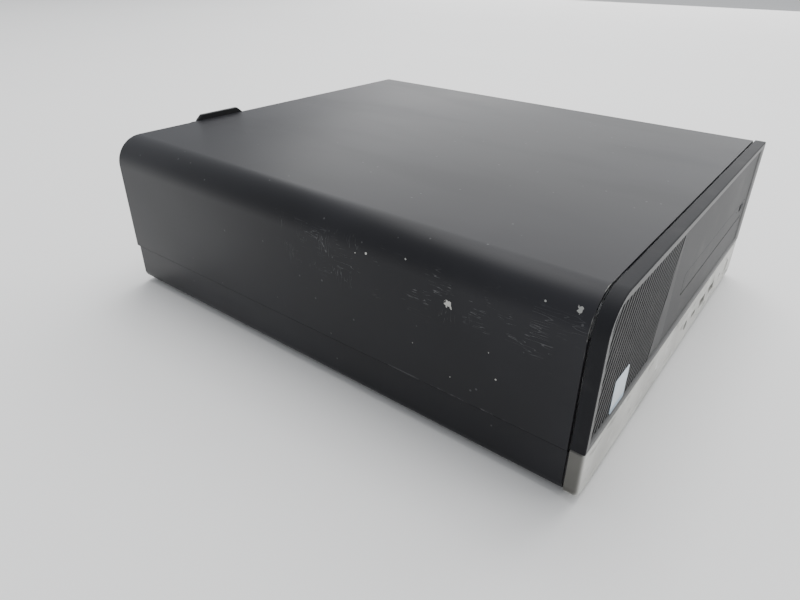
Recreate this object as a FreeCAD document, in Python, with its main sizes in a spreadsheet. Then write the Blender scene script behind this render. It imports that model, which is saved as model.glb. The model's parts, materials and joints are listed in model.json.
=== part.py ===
import FreeCAD, Part

# Small desktop computer lying flat: sheet-metal pan, lift-off cover, plastic bezel, drives, supply and board.
# Frame: X to the right seen from the front, +Y to the rear, +Z up. The origin is on the resting surface,
# under the middle of the outline. Places below are measured from the body's left, front and underside.

import os
import re

import Sketcher

doc = FreeCAD.newDocument("desktop_computer")

# ---------------------------------------------------------------- driving dimensions, in millimetres
SIZES = dict(
    width=270, depth=320, body_height=97, foot_height=2, foot_radius=9, foot_inset=26,
    sheet=1, cover_thick=1, side_clear=0.6, skirt_inset=0.7, seam_height=25, seam_gap=0.8,
    corner_radius=17, far_radius=2, low_radius=6, cover_lip=12, top_clear=1,
    bezel_side=6.5, bezel_gap=1.2, bezel_proud=0.4, bezel_wall=2.2, rim_width=2.8, rim_step=0.8,
    chin_height=26.5, chin_round=3, chin_gap=0.15, fit_gap=0.4, run_gap=0.3,
    grille_width=94, grille_thick=1.6, grille_ledge=2,
    latch_left=61, latch_width=38, latch_out=11, latch_taper=4, latch_drop=11, latch_rise=3.4,
    latch_step=2.5, latch_tab=2.6,
    slider_width=10, slider_travel=6, slider_long=4.4, slider_high=1.6,
    tray_left=115, tray_front_width=137, tray_front_low=50, tray_front_high=12, tray_front_thick=5,
    drive_left=116, drive_width=128, drive_long=127, drive_high=12.7, drive_low=51, drive_sheet=0.8,
    tray_high=6, tray_margin=2, well_radius=60.5, well_depth=1.8, hub_radius=7.3, hub_high=3.2,
    eject_left=241, eject_width=7, eject_low=56.6, eject_high=3.8, eject_long=3.6,
    button_x=247, port_z=13.5, button_radius=5.5, button_travel=1.5, button_long=7,
    jack_x=150, jack_radius=1.8, jack_shell=2.9, jack_deep=14, typec_x=167, typec_width=9.2, typec_high=3.4,
    usb_first_x=187, usb_pitch=21, usb_width=13.2, usb_high=5.8, usb_wall=0.5, usb_deep=14, light_x=231,
    light_radius=1.3, io_left=142, io_width=116, io_long=26, pcb=1.6,
    disk_left=150.6, disk_width=101.6, disk_long=147, disk_high=26.1, disk_low=22, disk_front=14,
    cage_front=12, cage_foot=40, cage_reach=150,
    supply_left=186, supply_low=2.4, supply_width=80, supply_long=140, supply_high=64, supply_fan_radius=28, inlet_width=27,
    inlet_high=19.5, blade_count=7,
    board_left=6, board_width=176, board_front=66, board_rear=4, standoff=6.5, standoff_radius=3,
    cpu_x=52, cpu_y=126, cpu_side=37.5, socket_high=3.6, cpu_high=3.4, sink_side=80, sink_base=5, sink_high=60,
    fin_pitch=3.6, fin_thick=0.9, fan_side=80, fan_thick=25, fan_front=22, fan_bore=37.5, fan_hub=16,
    dimm_x=104, dimm_pitch=9, dimm_y=76, dimm_long=133.3, dimm_high=31.2,
    slot_x=126, slot_pitch=20.3, slot_width=18.4, slot_low=8, slot_tall=80, port_out=1,
    ethernet_x=74, ethernet_width=16, ethernet_high=14, usb_stack_x=96, display_x=32, audio_x=15,
)
# ---------------------------------------------------------------- the sheet that every size is read from
sheet = doc.addObject("Spreadsheet::Sheet", "Sizes")
for row, (alias, value) in enumerate(SIZES.items(), start=1):
    sheet.set(f"A{row}", alias)
    sheet.set(f"B{row}", str(value))
    sheet.setAlias(f"B{row}", alias)
reader = doc.addObject("App::FeaturePython", "Reader")
reader.addProperty("App::PropertyFloat", "Value")
doc.recompute()
ALIAS = re.compile(r"\b(" + "|".join(sorted(SIZES, key=len, reverse=True)) + r")\b")
FRONT = "(-(depth + latch_out) / 2)"
LEFT = "(-width / 2)"
FLOOR = "foot_height"
FACE = "(bezel_side + bezel_gap)"          # front of the chassis and of the cover
JOG = "(cover_thick + side_clear)"         # outer face of the pan's upper walls
INSIDE = f"({JOG} + sheet)"                # their inner face
WALL_TOP = "(body_height - cover_thick - top_clear)"
LEFT_TOP = "(body_height - corner_radius - top_clear)"   # the left wall stops below the cover's wide corner
BOARD_TOP = "(sheet + standoff + pcb)"
BOARD_LONG = "(depth - board_front - board_rear)"


def bind(text):
    """The expression with every size's name pointing at its cell."""
    return ALIAS.sub(r"Sizes.\1", str(text))


def value(text):
    """What an expression comes to now, for choosing edges and for plain shapes."""
    reader.setExpression("Value", bind(text))
    reader.recompute()
    return float(reader.Value)


def place(obj, at, body=False):
    """Puts an object's origin at a point measured from the body's left, front and underside."""
    for axis, base, offset in zip("xyz", (LEFT, FRONT, FLOOR), at):
        obj.setExpression(f"Placement.Base.{axis}", bind(f"{base} + ({offset})"))
    return obj


# ---------------------------------------------------------------- primitives and booleans
def box(name, size, at):
    made = doc.addObject("Part::Box", name)
    for prop, length in zip(("Length", "Width", "Height"), size):
        made.setExpression(prop, bind(length))
    return place(made, at)


TURN = {"z": FreeCAD.Rotation(), "y": FreeCAD.Rotation(FreeCAD.Vector(1, 0, 0), -90),
        "x": FreeCAD.Rotation(FreeCAD.Vector(0, 1, 0), 90)}


def rod(name, radius, length, at, along="z"):
    """A cylinder that starts at a point and runs along +X, +Y or +Z."""
    made = doc.addObject("Part::Cylinder", name)
    made.setExpression("Radius", bind(radius))
    made.setExpression("Height", bind(length))
    made.Placement = FreeCAD.Placement(FreeCAD.Vector(), TURN[along])
    return place(made, at)


def fuse(name, parts):
    made = doc.addObject("Part::MultiFuse", name)
    made.Shapes = parts
    return made


def cut(name, base, tools):
    made = doc.addObject("Part::Cut", name)
    made.Base = base
    made.Tool = tools[0] if len(tools) == 1 else fuse(name + "_tools", tools)
    return made


def group(name, parts):
    """Identical or neighbouring pieces kept as separate solids of one node."""
    made = doc.addObject("Part::Compound", name)
    made.Links = parts
    return made


def shell(name, size, at, wall, open_end="front"):
    """A box of sheet with one end open: front, rear or top."""
    outer = box(name + "_outer", size, at)
    inner_size = [f"{size[0]} - 2*{wall}", f"{size[1]} - 2*{wall}", f"{size[2]} - 2*{wall}"]
    inner_at = [f"{at[0]} + {wall}", f"{at[1]} + {wall}", f"{at[2]} + {wall}"]
    end = {"front": 1, "rear": 1, "top": 2}[open_end]
    inner_size[end] = f"{size[end]}"
    if open_end == "front":
        inner_at[end] = f"{at[end]} - {wall}"
    return cut(name, outer, [box(name + "_inner", inner_size, inner_at)])


# ---------------------------------------------------------------- part design helpers
def new_body(name, at):
    made = doc.addObject("PartDesign::Body", name)
    place(made, at)
    return made


def outline(body, name, points, plane="XZ_Plane", back=None):
    """A closed sketch of straight sides, every corner held by two sizes. back moves it along +Y (XZ) or +Z (XY)."""
    sketch = body.newObject("Sketcher::SketchObject", name)
    side = [f for f in body.Origin.OriginFeatures if f.Role == plane][0]
    sketch.AttachmentSupport = [(side, "")]
    sketch.MapMode = "FlatFace"
    if back is not None:
        sign = "-" if plane == "XZ_Plane" else ""
        sketch.setExpression("AttachmentOffset.Base.z", bind(f"{sign}({back})"))
    flat = [(value(px), value(py)) for px, py in points]
    count = len(points)
    for i in range(count):
        start = FreeCAD.Vector(*flat[i], 0)
        end = FreeCAD.Vector(*flat[(i + 1) % count], 0)
        sketch.addGeometry(Part.LineSegment(start, end), False)
    for i in range(count):
        sketch.addConstraint(Sketcher.Constraint("Coincident", i, 2, (i + 1) % count, 1))
    for i in range(count):
        for kind, text, now in (("DistanceX", points[i][0], flat[i][0]), ("DistanceY", points[i][1], flat[i][1])):
            held = sketch.addConstraint(Sketcher.Constraint(kind, -1, 1, i, 1, now))
            sketch.setExpression(f"Constraints[{held}]", bind(text))
    return sketch


def rectangle(x0, z0, x1, z1):
    return [(x0, z0), (x1, z0), (x1, z1), (x0, z1)]


def pad(body, name, sketch, length, backwards=True):
    made = body.newObject("PartDesign::Pad", name)
    made.Profile = sketch
    made.Reversed = backwards
    made.setExpression("Length", bind(length))
    doc.recompute()
    return made


def edges_where(shape, test):
    """Names of the straight or round edges whose middle point and direction pass the test."""
    found = []
    for i, edge in enumerate(shape.Edges, start=1):
        middle = edge.valueAt((edge.FirstParameter + edge.LastParameter) / 2)
        run = edge.valueAt(edge.LastParameter) - edge.valueAt(edge.FirstParameter)
        if test(middle, run):
            found.append(f"Edge{i}")
    return found


def along_y_at(x, z):
    """A test for edges along Y through a point of the body's own XZ plane."""
    px, pz = value(x), value(z)
    return lambda m, r: abs(m.x - px) < 0.02 and abs(m.z - pz) < 0.02 and abs(r.x) + abs(r.z) < 1e-6 < abs(r.y)


def round_off(body, name, feature, test, radius):
    made = body.newObject("PartDesign::Fillet", name)
    made.Base = (feature, edges_where(feature.Shape, test))
    made.setExpression("Radius", bind(radius))
    doc.recompute()
    return made


def rounded_block(name, corners, front, length, rounds=()):
    """A block along +Y between two corners (x0, z0, x1, z1), with some of its long edges rounded."""
    body = new_body(name, ("0", front, "0"))
    made = pad(body, name + "Pad", outline(body, name + "Outline", rectangle(*corners)), length)
    for i, (x, z, radius) in enumerate(rounds):
        made = round_off(body, f"{name}Round{i}", made, along_y_at(x, z), radius)
    return body


PIECES = []


def piece(obj, label):
    """Names a finished piece, which gives its file its name."""
    obj.Label = label
    PIECES.append(obj)
    return obj


# ================================================================ enclosure
def base_pan():
    """U-shaped pan: a rounded skirt below the seam, and walls stepped in above it to go inside the cover."""
    step = "(seam_height - seam_gap)"
    right_half = [
        ("width - skirt_inset", "0"), ("width - skirt_inset", step), (f"width - {JOG}", step),
        (f"width - {JOG}", WALL_TOP), (f"width - {INSIDE}", WALL_TOP), (f"width - {INSIDE}", f"{step} - sheet"),
        ("width - skirt_inset - sheet", f"{step} - sheet"), ("width - skirt_inset - sheet", "sheet"),
    ]
    left_half = [
        ("skirt_inset + sheet", "sheet"), ("skirt_inset + sheet", f"{step} - sheet"),
        (INSIDE, f"{step} - sheet"), (INSIDE, LEFT_TOP), (JOG, LEFT_TOP), (JOG, step), ("skirt_inset", step),
        ("skirt_inset", "0"),
    ]
    body = new_body("BasePan", ("0", FACE, "0"))
    made = pad(body, "PanPad", outline(body, "PanOutline", right_half + left_half), f"depth - {FACE}")
    outer = [along_y_at("skirt_inset", "0"), along_y_at("width - skirt_inset", "0")]
    inner = [along_y_at("skirt_inset + sheet", "sheet"), along_y_at("width - skirt_inset - sheet", "sheet")]
    made = round_off(body, "PanLow", made, lambda m, r: any(t(m, r) for t in outer), "low_radius")
    round_off(body, "PanLowInside", made, lambda m, r: any(t(m, r) for t in inner), "low_radius - sheet")
    piece(body, "base_pan")


def top_cover():
    """Hood over the top and both sides down to the seam, with one wide rounded edge and a lip at the rear."""
    block = rounded_block(
        "CoverBlock", ("0", "seam_height", "width", "body_height"), FACE,
        f"depth + cover_thick + side_clear - {FACE}",
        [("0", "body_height", "corner_radius"), ("width", "body_height", "far_radius")])
    in_x, in_z = "cover_thick", "(body_height - cover_thick)"
    hollow = rounded_block(
        "CoverHollow", (in_x, "seam_height - 1", "width - cover_thick", in_z), f"{FACE} - 1",
        f"depth + side_clear - {FACE} + 1",
        [(in_x, in_z, "corner_radius - cover_thick"), ("width - cover_thick", in_z, "far_radius - cover_thick")])
    below_lip = box("CoverRearOpening", ("width + 2", "cover_thick + 2", "body_height - cover_lip - seam_height + 1"),
                    ("-1", "depth + side_clear - 1", "seam_height - 1"))
    piece(cut("Cover", block, [hollow, below_lip]), "top_cover")


def cover_latch():
    """Release latch at the rear edge of the cover: a plastic grip with a low tab over the edge, and a sprung slider."""
    back, ledge = "(depth + cover_thick + side_clear)", "(body_height - latch_step)"
    body = new_body("LatchGrip", ("latch_left", back, "body_height"))
    shape = [("0", "-latch_drop"), ("latch_width", "-latch_drop"), ("latch_width", "0"),
             ("latch_width - latch_taper", "latch_rise"), ("latch_taper", "latch_rise"), ("0", "0")]
    made = pad(body, "GripPad", outline(body, "GripOutline", shape), "latch_out - cover_thick - side_clear")
    for i, x in enumerate(("latch_taper", "latch_width - latch_taper")):
        made = round_off(body, f"GripRound{i}", made, along_y_at(x, "latch_rise"), "latch_taper / 3")
    middle, tab = "(latch_left + latch_width / 2)", f"({back} + latch_tab)"
    step = box("GripStep", ("latch_width + 2", "latch_out", "latch_rise + latch_step + 1"), ("latch_left - 1", tab, ledge))
    slot = box("SliderSlot", ("slider_width + slider_travel + 2 * run_gap", "slider_long + 2 * run_gap", "slider_high + 1"),
               (f"{middle} - slider_width / 2 - slider_travel / 2 - run_gap", f"{tab} + 0.6", f"{ledge} - slider_high"))
    piece(cut("Grip", body, [step, slot]), "latch_grip")
    at = (f"{middle} - slider_width / 2 - slider_travel / 2", f"{tab} + 0.6 + run_gap",
          f"{ledge} - slider_high + run_gap")
    plate = box("SliderPlate", ("slider_width", "slider_long", "slider_high + 0.4 - run_gap"), at)
    grooves = [box(f"SliderGroove{i}", ("0.9", "slider_long + 2", "0.5"),
                   (f"{at[0]} + {i + 1} * slider_width / 5 - 0.45", f"{at[1]} - 1", f"{ledge} + 0.1")) for i in range(4)]
    piece(cut("Slider", plate, grooves), "latch_slider")


def feet():
    spots = [(x, y) for x in ("foot_inset", "width - foot_inset") for y in ("foot_inset + 6", "depth - foot_inset")]
    pads = [rod(f"Foot{i}", "foot_radius", "foot_height", (x, y, "-foot_height")) for i, (x, y) in enumerate(spots)]
    piece(group("Feet", pads), "rubber_feet")


def end_sheet(name, front):
    """A sheet across the pan whose upper left corner stays inside the cover's wide corner."""
    return rounded_block(name, (INSIDE, "sheet", f"width - {INSIDE}", WALL_TOP), front, "sheet",
                         [(INSIDE, WALL_TOP, f"corner_radius - {INSIDE}"), (INSIDE, "sheet", "low_radius - sheet"),
                          (f"width - {INSIDE}", "sheet", "low_radius - sheet")])


def front_plate():
    """Chassis front: a sheet with windows for the fan, the optical drive, the ports and the speaker."""
    plate = end_sheet("FrontSheet", FACE)
    windows = [
        rod("FanWindow", "fan_bore", "sheet + 2",
            ("board_left + 6 + fan_side / 2", f"{FACE} - 1", "sheet + 8 + fan_side / 2"), "y"),
        box("TrayWindow", ("drive_width + 2", "sheet + 2", "drive_high + 1"),
            ("drive_left - 1", f"{FACE} - 1", "drive_low - 0.5")),
        box("PortWindow", ("io_width", "sheet + 2", "16"), ("io_left", f"{FACE} - 1", "sheet + 5")),
        rod("SpeakerWindow", "14", "sheet + 2", ("122", f"{FACE} - 1", "29"), "y"),
    ]
    piece(cut("FrontPlate", plate, windows), "front_plate")


def rear_windows():
    """Openings in the rear sheet, each as (name, size, place)."""
    found = [("IoWindow", ("104", "33"), ("9", "sheet + 6.5"))]
    for i in range(3):
        found.append((f"SlotWindow{i}", ("slot_width - 4", "slot_tall - 12"),
                      (f"slot_x + {i} * slot_pitch - slot_width / 2 + 2", "slot_low + 4")))
    found.append(("SupplyWindow", ("supply_width - 6", "supply_high - 6"), ("supply_left + 3", "supply_low + 3")))
    return found


def rear_panel():
    plate = end_sheet("RearSheet", "depth - sheet")
    windows = [box(name, (size[0], "sheet + 2", size[1]), (at[0], "depth - sheet - 1", at[1]))
               for name, size, at in rear_windows()]
    vents = [box(f"RearVent{i}{j}", ("7", "sheet + 2", "2.4"), (f"{12 + 11 * i}", "depth - sheet - 1", f"{50 + 6 * j}"))
             for i in range(9) for j in range(6)]
    vents += [box(f"SupplyVent{i}{j}", ("7", "sheet + 2", "2.4"),
                  (f"supply_left + {6 + 11 * i}", "depth - sheet - 1", f"{73 + 6 * j}"))
              for i in range(6) for j in range(3)]
    piece(cut("RearPanel", plate, windows + vents), "rear_panel")
    eye = rod("LoopEye", "5", "2.4", ("179", "depth + 6", "76"), "x")
    web = box("LoopWeb", ("2.4", "6", "10"), ("179", "depth", "71"))
    ring = cut("Loop", fuse("LoopPlate", [eye, web]), [rod("LoopHole", "3", "4", ("178", "depth + 6", "76"), "x")])
    piece(ring, "padlock_loop")


# ================================================================ front bezel
def front_bezel():
    """Black upper bezel: proud rim, recessed field, and openings for the grille and the optical drive's front."""
    left, right, top = "(-bezel_proud)", "(width + bezel_proud)", "(body_height + bezel_proud)"
    block = rounded_block("BezelBlock", (left, "chin_height", right, top), "0", "bezel_side",
                          [(left, top, "corner_radius + bezel_proud"), (right, top, "far_radius")])

    def inset(name, by, low, front, length):
        x, z = f"({left} + {by})", f"({top} - {by})"
        return rounded_block(name, (x, low, f"{right} - {by}", z), front, length,
                             [(x, z, f"corner_radius + bezel_proud - {by}")])

    field = inset("BezelField", "rim_width", "chin_height - 1", "-1", "rim_step + 1")
    hollow = inset("BezelHollow", "bezel_wall", "chin_height + bezel_wall", "rim_step + bezel_wall", "bezel_side")
    opening = grille_block("BezelGrille", "0", "-1", "bezel_side + 2")
    tray = box("BezelTray", ("tray_front_width + 2 * fit_gap", "bezel_side + 2", "tray_front_high + 2 * fit_gap"),
               ("tray_left - fit_gap", "-1", "tray_front_low - fit_gap"))
    piece(cut("Bezel", block, [field, hollow, opening, tray]), "front_bezel")


def grille_block(name, gap, front, length):
    """The outline of the grille, smaller all round by a gap, as a block."""
    side = f"(rim_width + grille_ledge + {gap})"
    x, z = f"(-bezel_proud + {side})", f"(body_height + bezel_proud - {side})"
    corners = (x, f"chin_height + grille_ledge + {gap}", f"grille_width - {gap}", z)
    return rounded_block(name, corners, front, length, [(x, z, f"corner_radius + bezel_proud - {side}")])


def bezel_grille():
    """Perforated insert: a thin plate whose corner follows the bezel, pierced by rows of slots."""
    plate = grille_block("GrillePlate", "0.05", "rim_step", "grille_thick")
    slots = [box(f"GrilleSlot{i}", ("grille_width - 30", "grille_thick + 2", "3"),
                 ("16", "rim_step - 1", f"chin_height + grille_ledge + 5 + {i} * 8")) for i in range(7)]
    piece(cut("Grille", plate, slots), "bezel_grille")


def port_openings(name, gap):
    """Cutting tools for the chin: jack, type-C port, two type-A ports, light and button."""
    deep = "bezel_side + 2"
    tools = [
        rod(name + "Jack", f"jack_shell + {gap}", deep, ("jack_x", "-1", "port_z"), "y"),
        box(name + "TypeC", (f"typec_width + 2 * {gap}", deep, f"typec_high + 2 * {gap}"),
            (f"typec_x - typec_width / 2 - {gap}", "-1", f"port_z - typec_high / 2 - {gap}")),
        rod(name + "Light", f"light_radius + {gap}", deep, ("light_x", "-1", "port_z"), "y"),
        rod(name + "Button", "button_radius + run_gap", deep, ("button_x", "-1", "port_z"), "y"),
    ]
    for i in range(2):
        tools.append(box(f"{name}Usb{i}", (f"usb_width + 2 * {gap}", deep, f"usb_high + 2 * {gap}"),
                         (f"usb_first_x + {i} * usb_pitch - usb_width / 2 - {gap}", "-1",
                          f"port_z - usb_high / 2 - {gap}")))
    return tools


def bezel_chin():
    """Light metallic strip along the bottom of the bezel, with the openings for the ports and the button."""
    left, right, top = "(-bezel_proud)", "(width + bezel_proud)", "(chin_height - chin_gap)"
    block = rounded_block("ChinBlock", (left, "0", right, top), "0", "bezel_side",
                          [(left, "0", "low_radius"), (right, "0", "low_radius")])
    plain = block.Tip
    front_edge = edges_where(plain.Shape, lambda m, r: abs(m.y) < 0.02 and abs(m.z) < 0.02 and abs(r.x) > 50)
    lip = block.newObject("PartDesign::Chamfer", "ChinLip")
    lip.Base = (plain, front_edge)
    lip.setExpression("Size", bind("chin_round"))
    hollow = box("ChinHollow", ("width - 2 * low_radius", "bezel_side", f"{top} - 2 * bezel_wall"),
                 ("low_radius", "rim_step + bezel_wall", "bezel_wall"))
    piece(cut("Chin", block, [hollow] + port_openings("Chin", "0.25")), "bezel_chin")


def power_button():
    cap = rod("ButtonCap", "button_radius", "button_long", ("button_x", "0.3", "port_z"), "y")
    dish = rod("ButtonDish", "button_radius - 1.6", "1", ("button_x", "-0.3", "port_z"), "y")
    piece(cut("PowerButton", cap, [dish]), "power_button")
    pipe = rod("LightPipe", "light_radius", "bezel_side + 3", ("light_x", "0.2", "port_z"), "y")
    piece(pipe, "activity_light")


# ================================================================ front ports
def front_ports():
    """A board behind the chin that carries the ports, the light's source and the button's switch."""
    pcb_low = "(port_z - usb_high / 2 - pcb)"
    board = box("IoBoard", ("io_width", "io_long", "pcb"), ("io_left", f"{FACE} + sheet + 1", pcb_low))
    shells = []
    for i in range(2):
        centre = f"usb_first_x + {i} * usb_pitch"
        outer = box(f"UsbOuter{i}", ("usb_width", "usb_deep", "usb_high"),
                    (f"{centre} - usb_width / 2", "2", "port_z - usb_high / 2"))
        inner = box(f"UsbInner{i}", ("usb_width - 2 * usb_wall", "usb_deep", "usb_high - 2 * usb_wall"),
                    (f"{centre} - usb_width / 2 + usb_wall", "1", "port_z - usb_high / 2 + usb_wall"))
        tongue = box(f"UsbTongue{i}", ("usb_width - 3", "usb_deep - 2", "1.4"),
                     (f"{centre} - usb_width / 2 + 1.5", "3.5", "port_z + 0.3"))
        shells.append(fuse(f"UsbPort{i}", [cut(f"UsbShell{i}", outer, [inner]), tongue]))
    piece(group("FrontUsb", shells), "front_usb_ports")
    outer = box("TypeCOuter", ("typec_width", "12", "typec_high"),
                ("typec_x - typec_width / 2", "2", "port_z - typec_high / 2"))
    inner = box("TypeCInner", ("typec_width - 1", "11", "typec_high - 1"),
                ("typec_x - typec_width / 2 + 0.5", "1", "port_z - typec_high / 2 + 0.5"))
    tongue = box("TypeCTongue", ("typec_width - 3", "9", "0.8"), ("typec_x - typec_width / 2 + 1.5", "4", "port_z - 0.4"))
    foot = box("TypeCFoot", ("typec_width", "4", "usb_high / 2 - typec_high / 2"),
               ("typec_x - typec_width / 2", f"{FACE} + sheet + 1", "port_z - usb_high / 2"))
    piece(fuse("TypeC", [cut("TypeCShell", outer, [inner]), tongue, foot]), "type_c_port")
    barrel = rod("JackBarrel", "jack_shell", "jack_deep", ("jack_x", "1.5", "port_z"), "y")
    base = box("JackBase", ("9", "8", "usb_high / 2 + 2"), ("jack_x - 4.5", f"{FACE} + sheet + 1", "port_z - usb_high / 2"))
    bore = rod("JackBore", "jack_radius", "jack_deep", ("jack_x", "0.5", "port_z"), "y")
    piece(cut("HeadsetJack", fuse("JackBody", [barrel, base]), [bore]), "headset_jack")
    switch = box("SwitchBody", ("7", "5", "usb_high / 2 + 3"),
                 ("button_x - 3.5", "0.3 + button_long + button_travel + 2", "port_z - usb_high / 2"))
    plunger = rod("SwitchPlunger", "1.6", "2", ("button_x", "0.3 + button_long + button_travel + 0.2", "port_z"), "y")
    legs = [rod(f"IoLeg{i}", "2.5", f"{pcb_low} - sheet", (x, f"{FACE} + sheet + 11", "sheet"))
            for i, x in enumerate(("io_left + 8", "io_left + io_width - 8"))]
    piece(fuse("PortBoard", [board, switch, plunger] + legs), "front_port_board")
    ring = rod("SpeakerRim", "18", "7", ("122", f"{FACE} + sheet", "29"), "y")
    magnet = rod("SpeakerMagnet", "10", "6", ("122", f"{FACE} + sheet + 7", "29"), "y")
    cone = doc.addObject("Part::Cone", "SpeakerCone")
    cone.Radius1, cone.Radius2, cone.Height = 13.5, 6, 5.5
    cone.Placement = FreeCAD.Placement(FreeCAD.Vector(), TURN["y"])
    place(cone, ("122", f"{FACE} + sheet - 0.5", "29"))
    piece(cut("Speaker", fuse("SpeakerBody", [ring, magnet]), [cone]), "speaker")


# ================================================================ drives
def optical_drive():
    """Slim tray-loading drive: open-fronted case, tray with a disc well, front, eject button and spindle."""
    case_at = ("drive_left", f"{FACE} + sheet + 1", "drive_low")
    case = shell("DriveCase", ("drive_width", "drive_long", "drive_high"), case_at, "drive_sheet", "front")
    piece(case, "optical_drive_case")
    tray_low = "(drive_low + drive_sheet + 1)"
    tray_left = "(drive_left + tray_margin)"
    tray_back = "(drive_long - 4)"
    plate = box("TrayPlate", ("drive_width - 2 * tray_margin", f"{tray_back} + {FACE} + 2 - rim_step - tray_front_thick",
                              "tray_high"), (tray_left, "rim_step + tray_front_thick", tray_low))
    centre = ("drive_left + drive_width / 2", "rim_step + tray_front_thick + well_radius + 3")
    well = rod("TrayWell", "well_radius", "well_depth + 1", (*centre, f"{tray_low} + tray_high - well_depth"))
    hub_hole = rod("TrayHub", "hub_radius + 3", "tray_high + 2", (*centre, f"{tray_low} - 1"))
    rail = box("PickupSlot", ("16", "34", "tray_high + 2"), (f"{centre[0]} - 8", f"{centre[1]} + hub_radius + 6", f"{tray_low} - 1"))
    tray = cut("Tray", plate, [well, hub_hole, rail])
    piece(tray, "optical_tray")
    bridge = box("PickupBridge", ("15", "12", "3"), (f"{centre[0]} - 7.5", f"{centre[1]} + hub_radius + 14", f"{tray_low} + 1"))
    lens = rod("PickupLens", "2.4", "1", (centre[0], f"{centre[1]} + hub_radius + 20", f"{tray_low} + 4"))
    guides = [rod(f"PickupRod{i}", "0.9", "34", (f"{centre[0]} + {x}", f"{centre[1]} + hub_radius + 6",
                                                f"{tray_low} + 2.4"), "y") for i, x in enumerate((-5, 5))]
    piece(fuse("Pickup", [bridge, lens] + guides), "laser_pickup")
    base = rod("HubDisc", "hub_radius + 2.4", "1.6", (*centre, f"{tray_low} + 2"))
    nose = rod("HubNose", "hub_radius", "hub_high", (*centre, f"{tray_low} + 2.5"))
    balls = [box(f"HubCatch{i}", ("2", "2", "1"), (f"{centre[0]} - 1 + {dx}", f"{centre[1]} - 1 + {dy}",
                                                  f"{tray_low} + 2.5 + hub_high - 0.4"))
             for i, (dx, dy) in enumerate(((4.5, 0), (-2.25, 3.9), (-2.25, -3.9)))]
    piece(fuse("Hub", [base, nose] + balls), "disc_spindle")
    panel = box("TrayPanel", ("tray_front_width", "tray_front_thick", "tray_front_high"),
                ("tray_left", "rim_step", "tray_front_low"))
    gap = "0.2"
    hole = box("EjectHole", (f"eject_width + 2 * {gap}", "tray_front_thick + 2", f"eject_high + 2 * {gap}"),
               (f"eject_left - {gap}", "rim_step - 1", f"eject_low - {gap}"))
    piece(cut("TrayFrontCut", panel, [hole]), "optical_tray_front")
    key = box("EjectKey", ("eject_width", "eject_long", "eject_high"), ("eject_left", "rim_step - 0.4", "eject_low"))
    piece(key, "eject_button")


def hard_drive():
    """3.5 inch drive: cast body, lid with a raised spindle boss, and circuit board, hung in a sheet cage."""
    at = ("disk_left", "disk_front", "disk_low")
    cast = box("DiskBody", ("disk_width", "disk_long", "disk_high - 3"), ("disk_left", "disk_front", "disk_low + 1.6"))
    piece(cast, "hard_drive_body")
    lid = box("DiskLid", ("disk_width - 3", "disk_long - 12", "1"),
              ("disk_left + 1.5", "disk_front + 2", "disk_low + disk_high - 1.4"))
    boss = rod("DiskBoss", "14", "0.4", ("disk_left + disk_width / 2", "disk_front + 50", "disk_low + disk_high - 0.4"))
    piece(fuse("DiskCover", [lid, boss]), "hard_drive_lid")
    piece(box("DiskBoard", ("disk_width - 8", "90", "1.6"), ("disk_left + 4", "disk_front + disk_long - 92", at[2])),
          "hard_drive_board")
    plate = box("CageTop", ("drive_width + sheet * 2 + 8", "cage_reach - 2", "sheet"),
                ("drive_left - 1", "cage_front", "drive_low - sheet"))
    legs = []
    for name, x in (("CageLeft", "disk_left - sheet"), ("CageRight", "disk_left + disk_width")):
        legs.append(box(name, ("sheet", "cage_reach - 2", "drive_low - sheet - disk_low + 2"),
                        (x, "cage_front", "disk_low - 2")))
    legs.append(box("CageFootLeft", ("sheet", "22", "disk_low - sheet"), ("disk_left - sheet", "cage_foot", "sheet")))
    legs.append(box("CageFootRight", ("sheet", "100", "disk_low - sheet"),
                    ("disk_left + disk_width", "cage_foot", "sheet")))
    piece(fuse("Cage", [plate] + legs), "drive_cage")


# ================================================================ power supply
def blade_ring(name, hub, tip, thick, centre, count, along_y=True):
    """A fan rotor: hub, and pitched blades set round it by a loop, as one plain shape."""
    radius_hub, radius_tip, wide = value(hub), value(tip), value(thick)
    rotor = Part.makeCylinder(radius_hub, wide)
    chord = (radius_tip - radius_hub) * 0.62
    for i in range(int(value(count))):
        blade = Part.makeBox(radius_tip - radius_hub + 1, 1.2, chord)
        blade.translate(FreeCAD.Vector(radius_hub - 1, -0.6, -chord / 2))
        blade.rotate(FreeCAD.Vector(), FreeCAD.Vector(1, 0, 0), 52)
        blade.translate(FreeCAD.Vector(0, 0, wide / 2))
        blade.rotate(FreeCAD.Vector(), FreeCAD.Vector(0, 0, 1), 360.0 * i / int(value(count)))
        rotor = rotor.fuse(blade)
    limit = Part.makeCylinder(radius_tip, wide)
    rotor = rotor.common(limit)
    bore = Part.makeCylinder(1.6, wide, FreeCAD.Vector(0, 0, wide * 0.4))
    rotor = rotor.cut(bore)
    made = doc.addObject("Part::Feature", name)
    made.Shape = rotor
    made.Placement = FreeCAD.Placement(FreeCAD.Vector(), TURN["y" if along_y else "z"])
    return place(made, centre)


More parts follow.
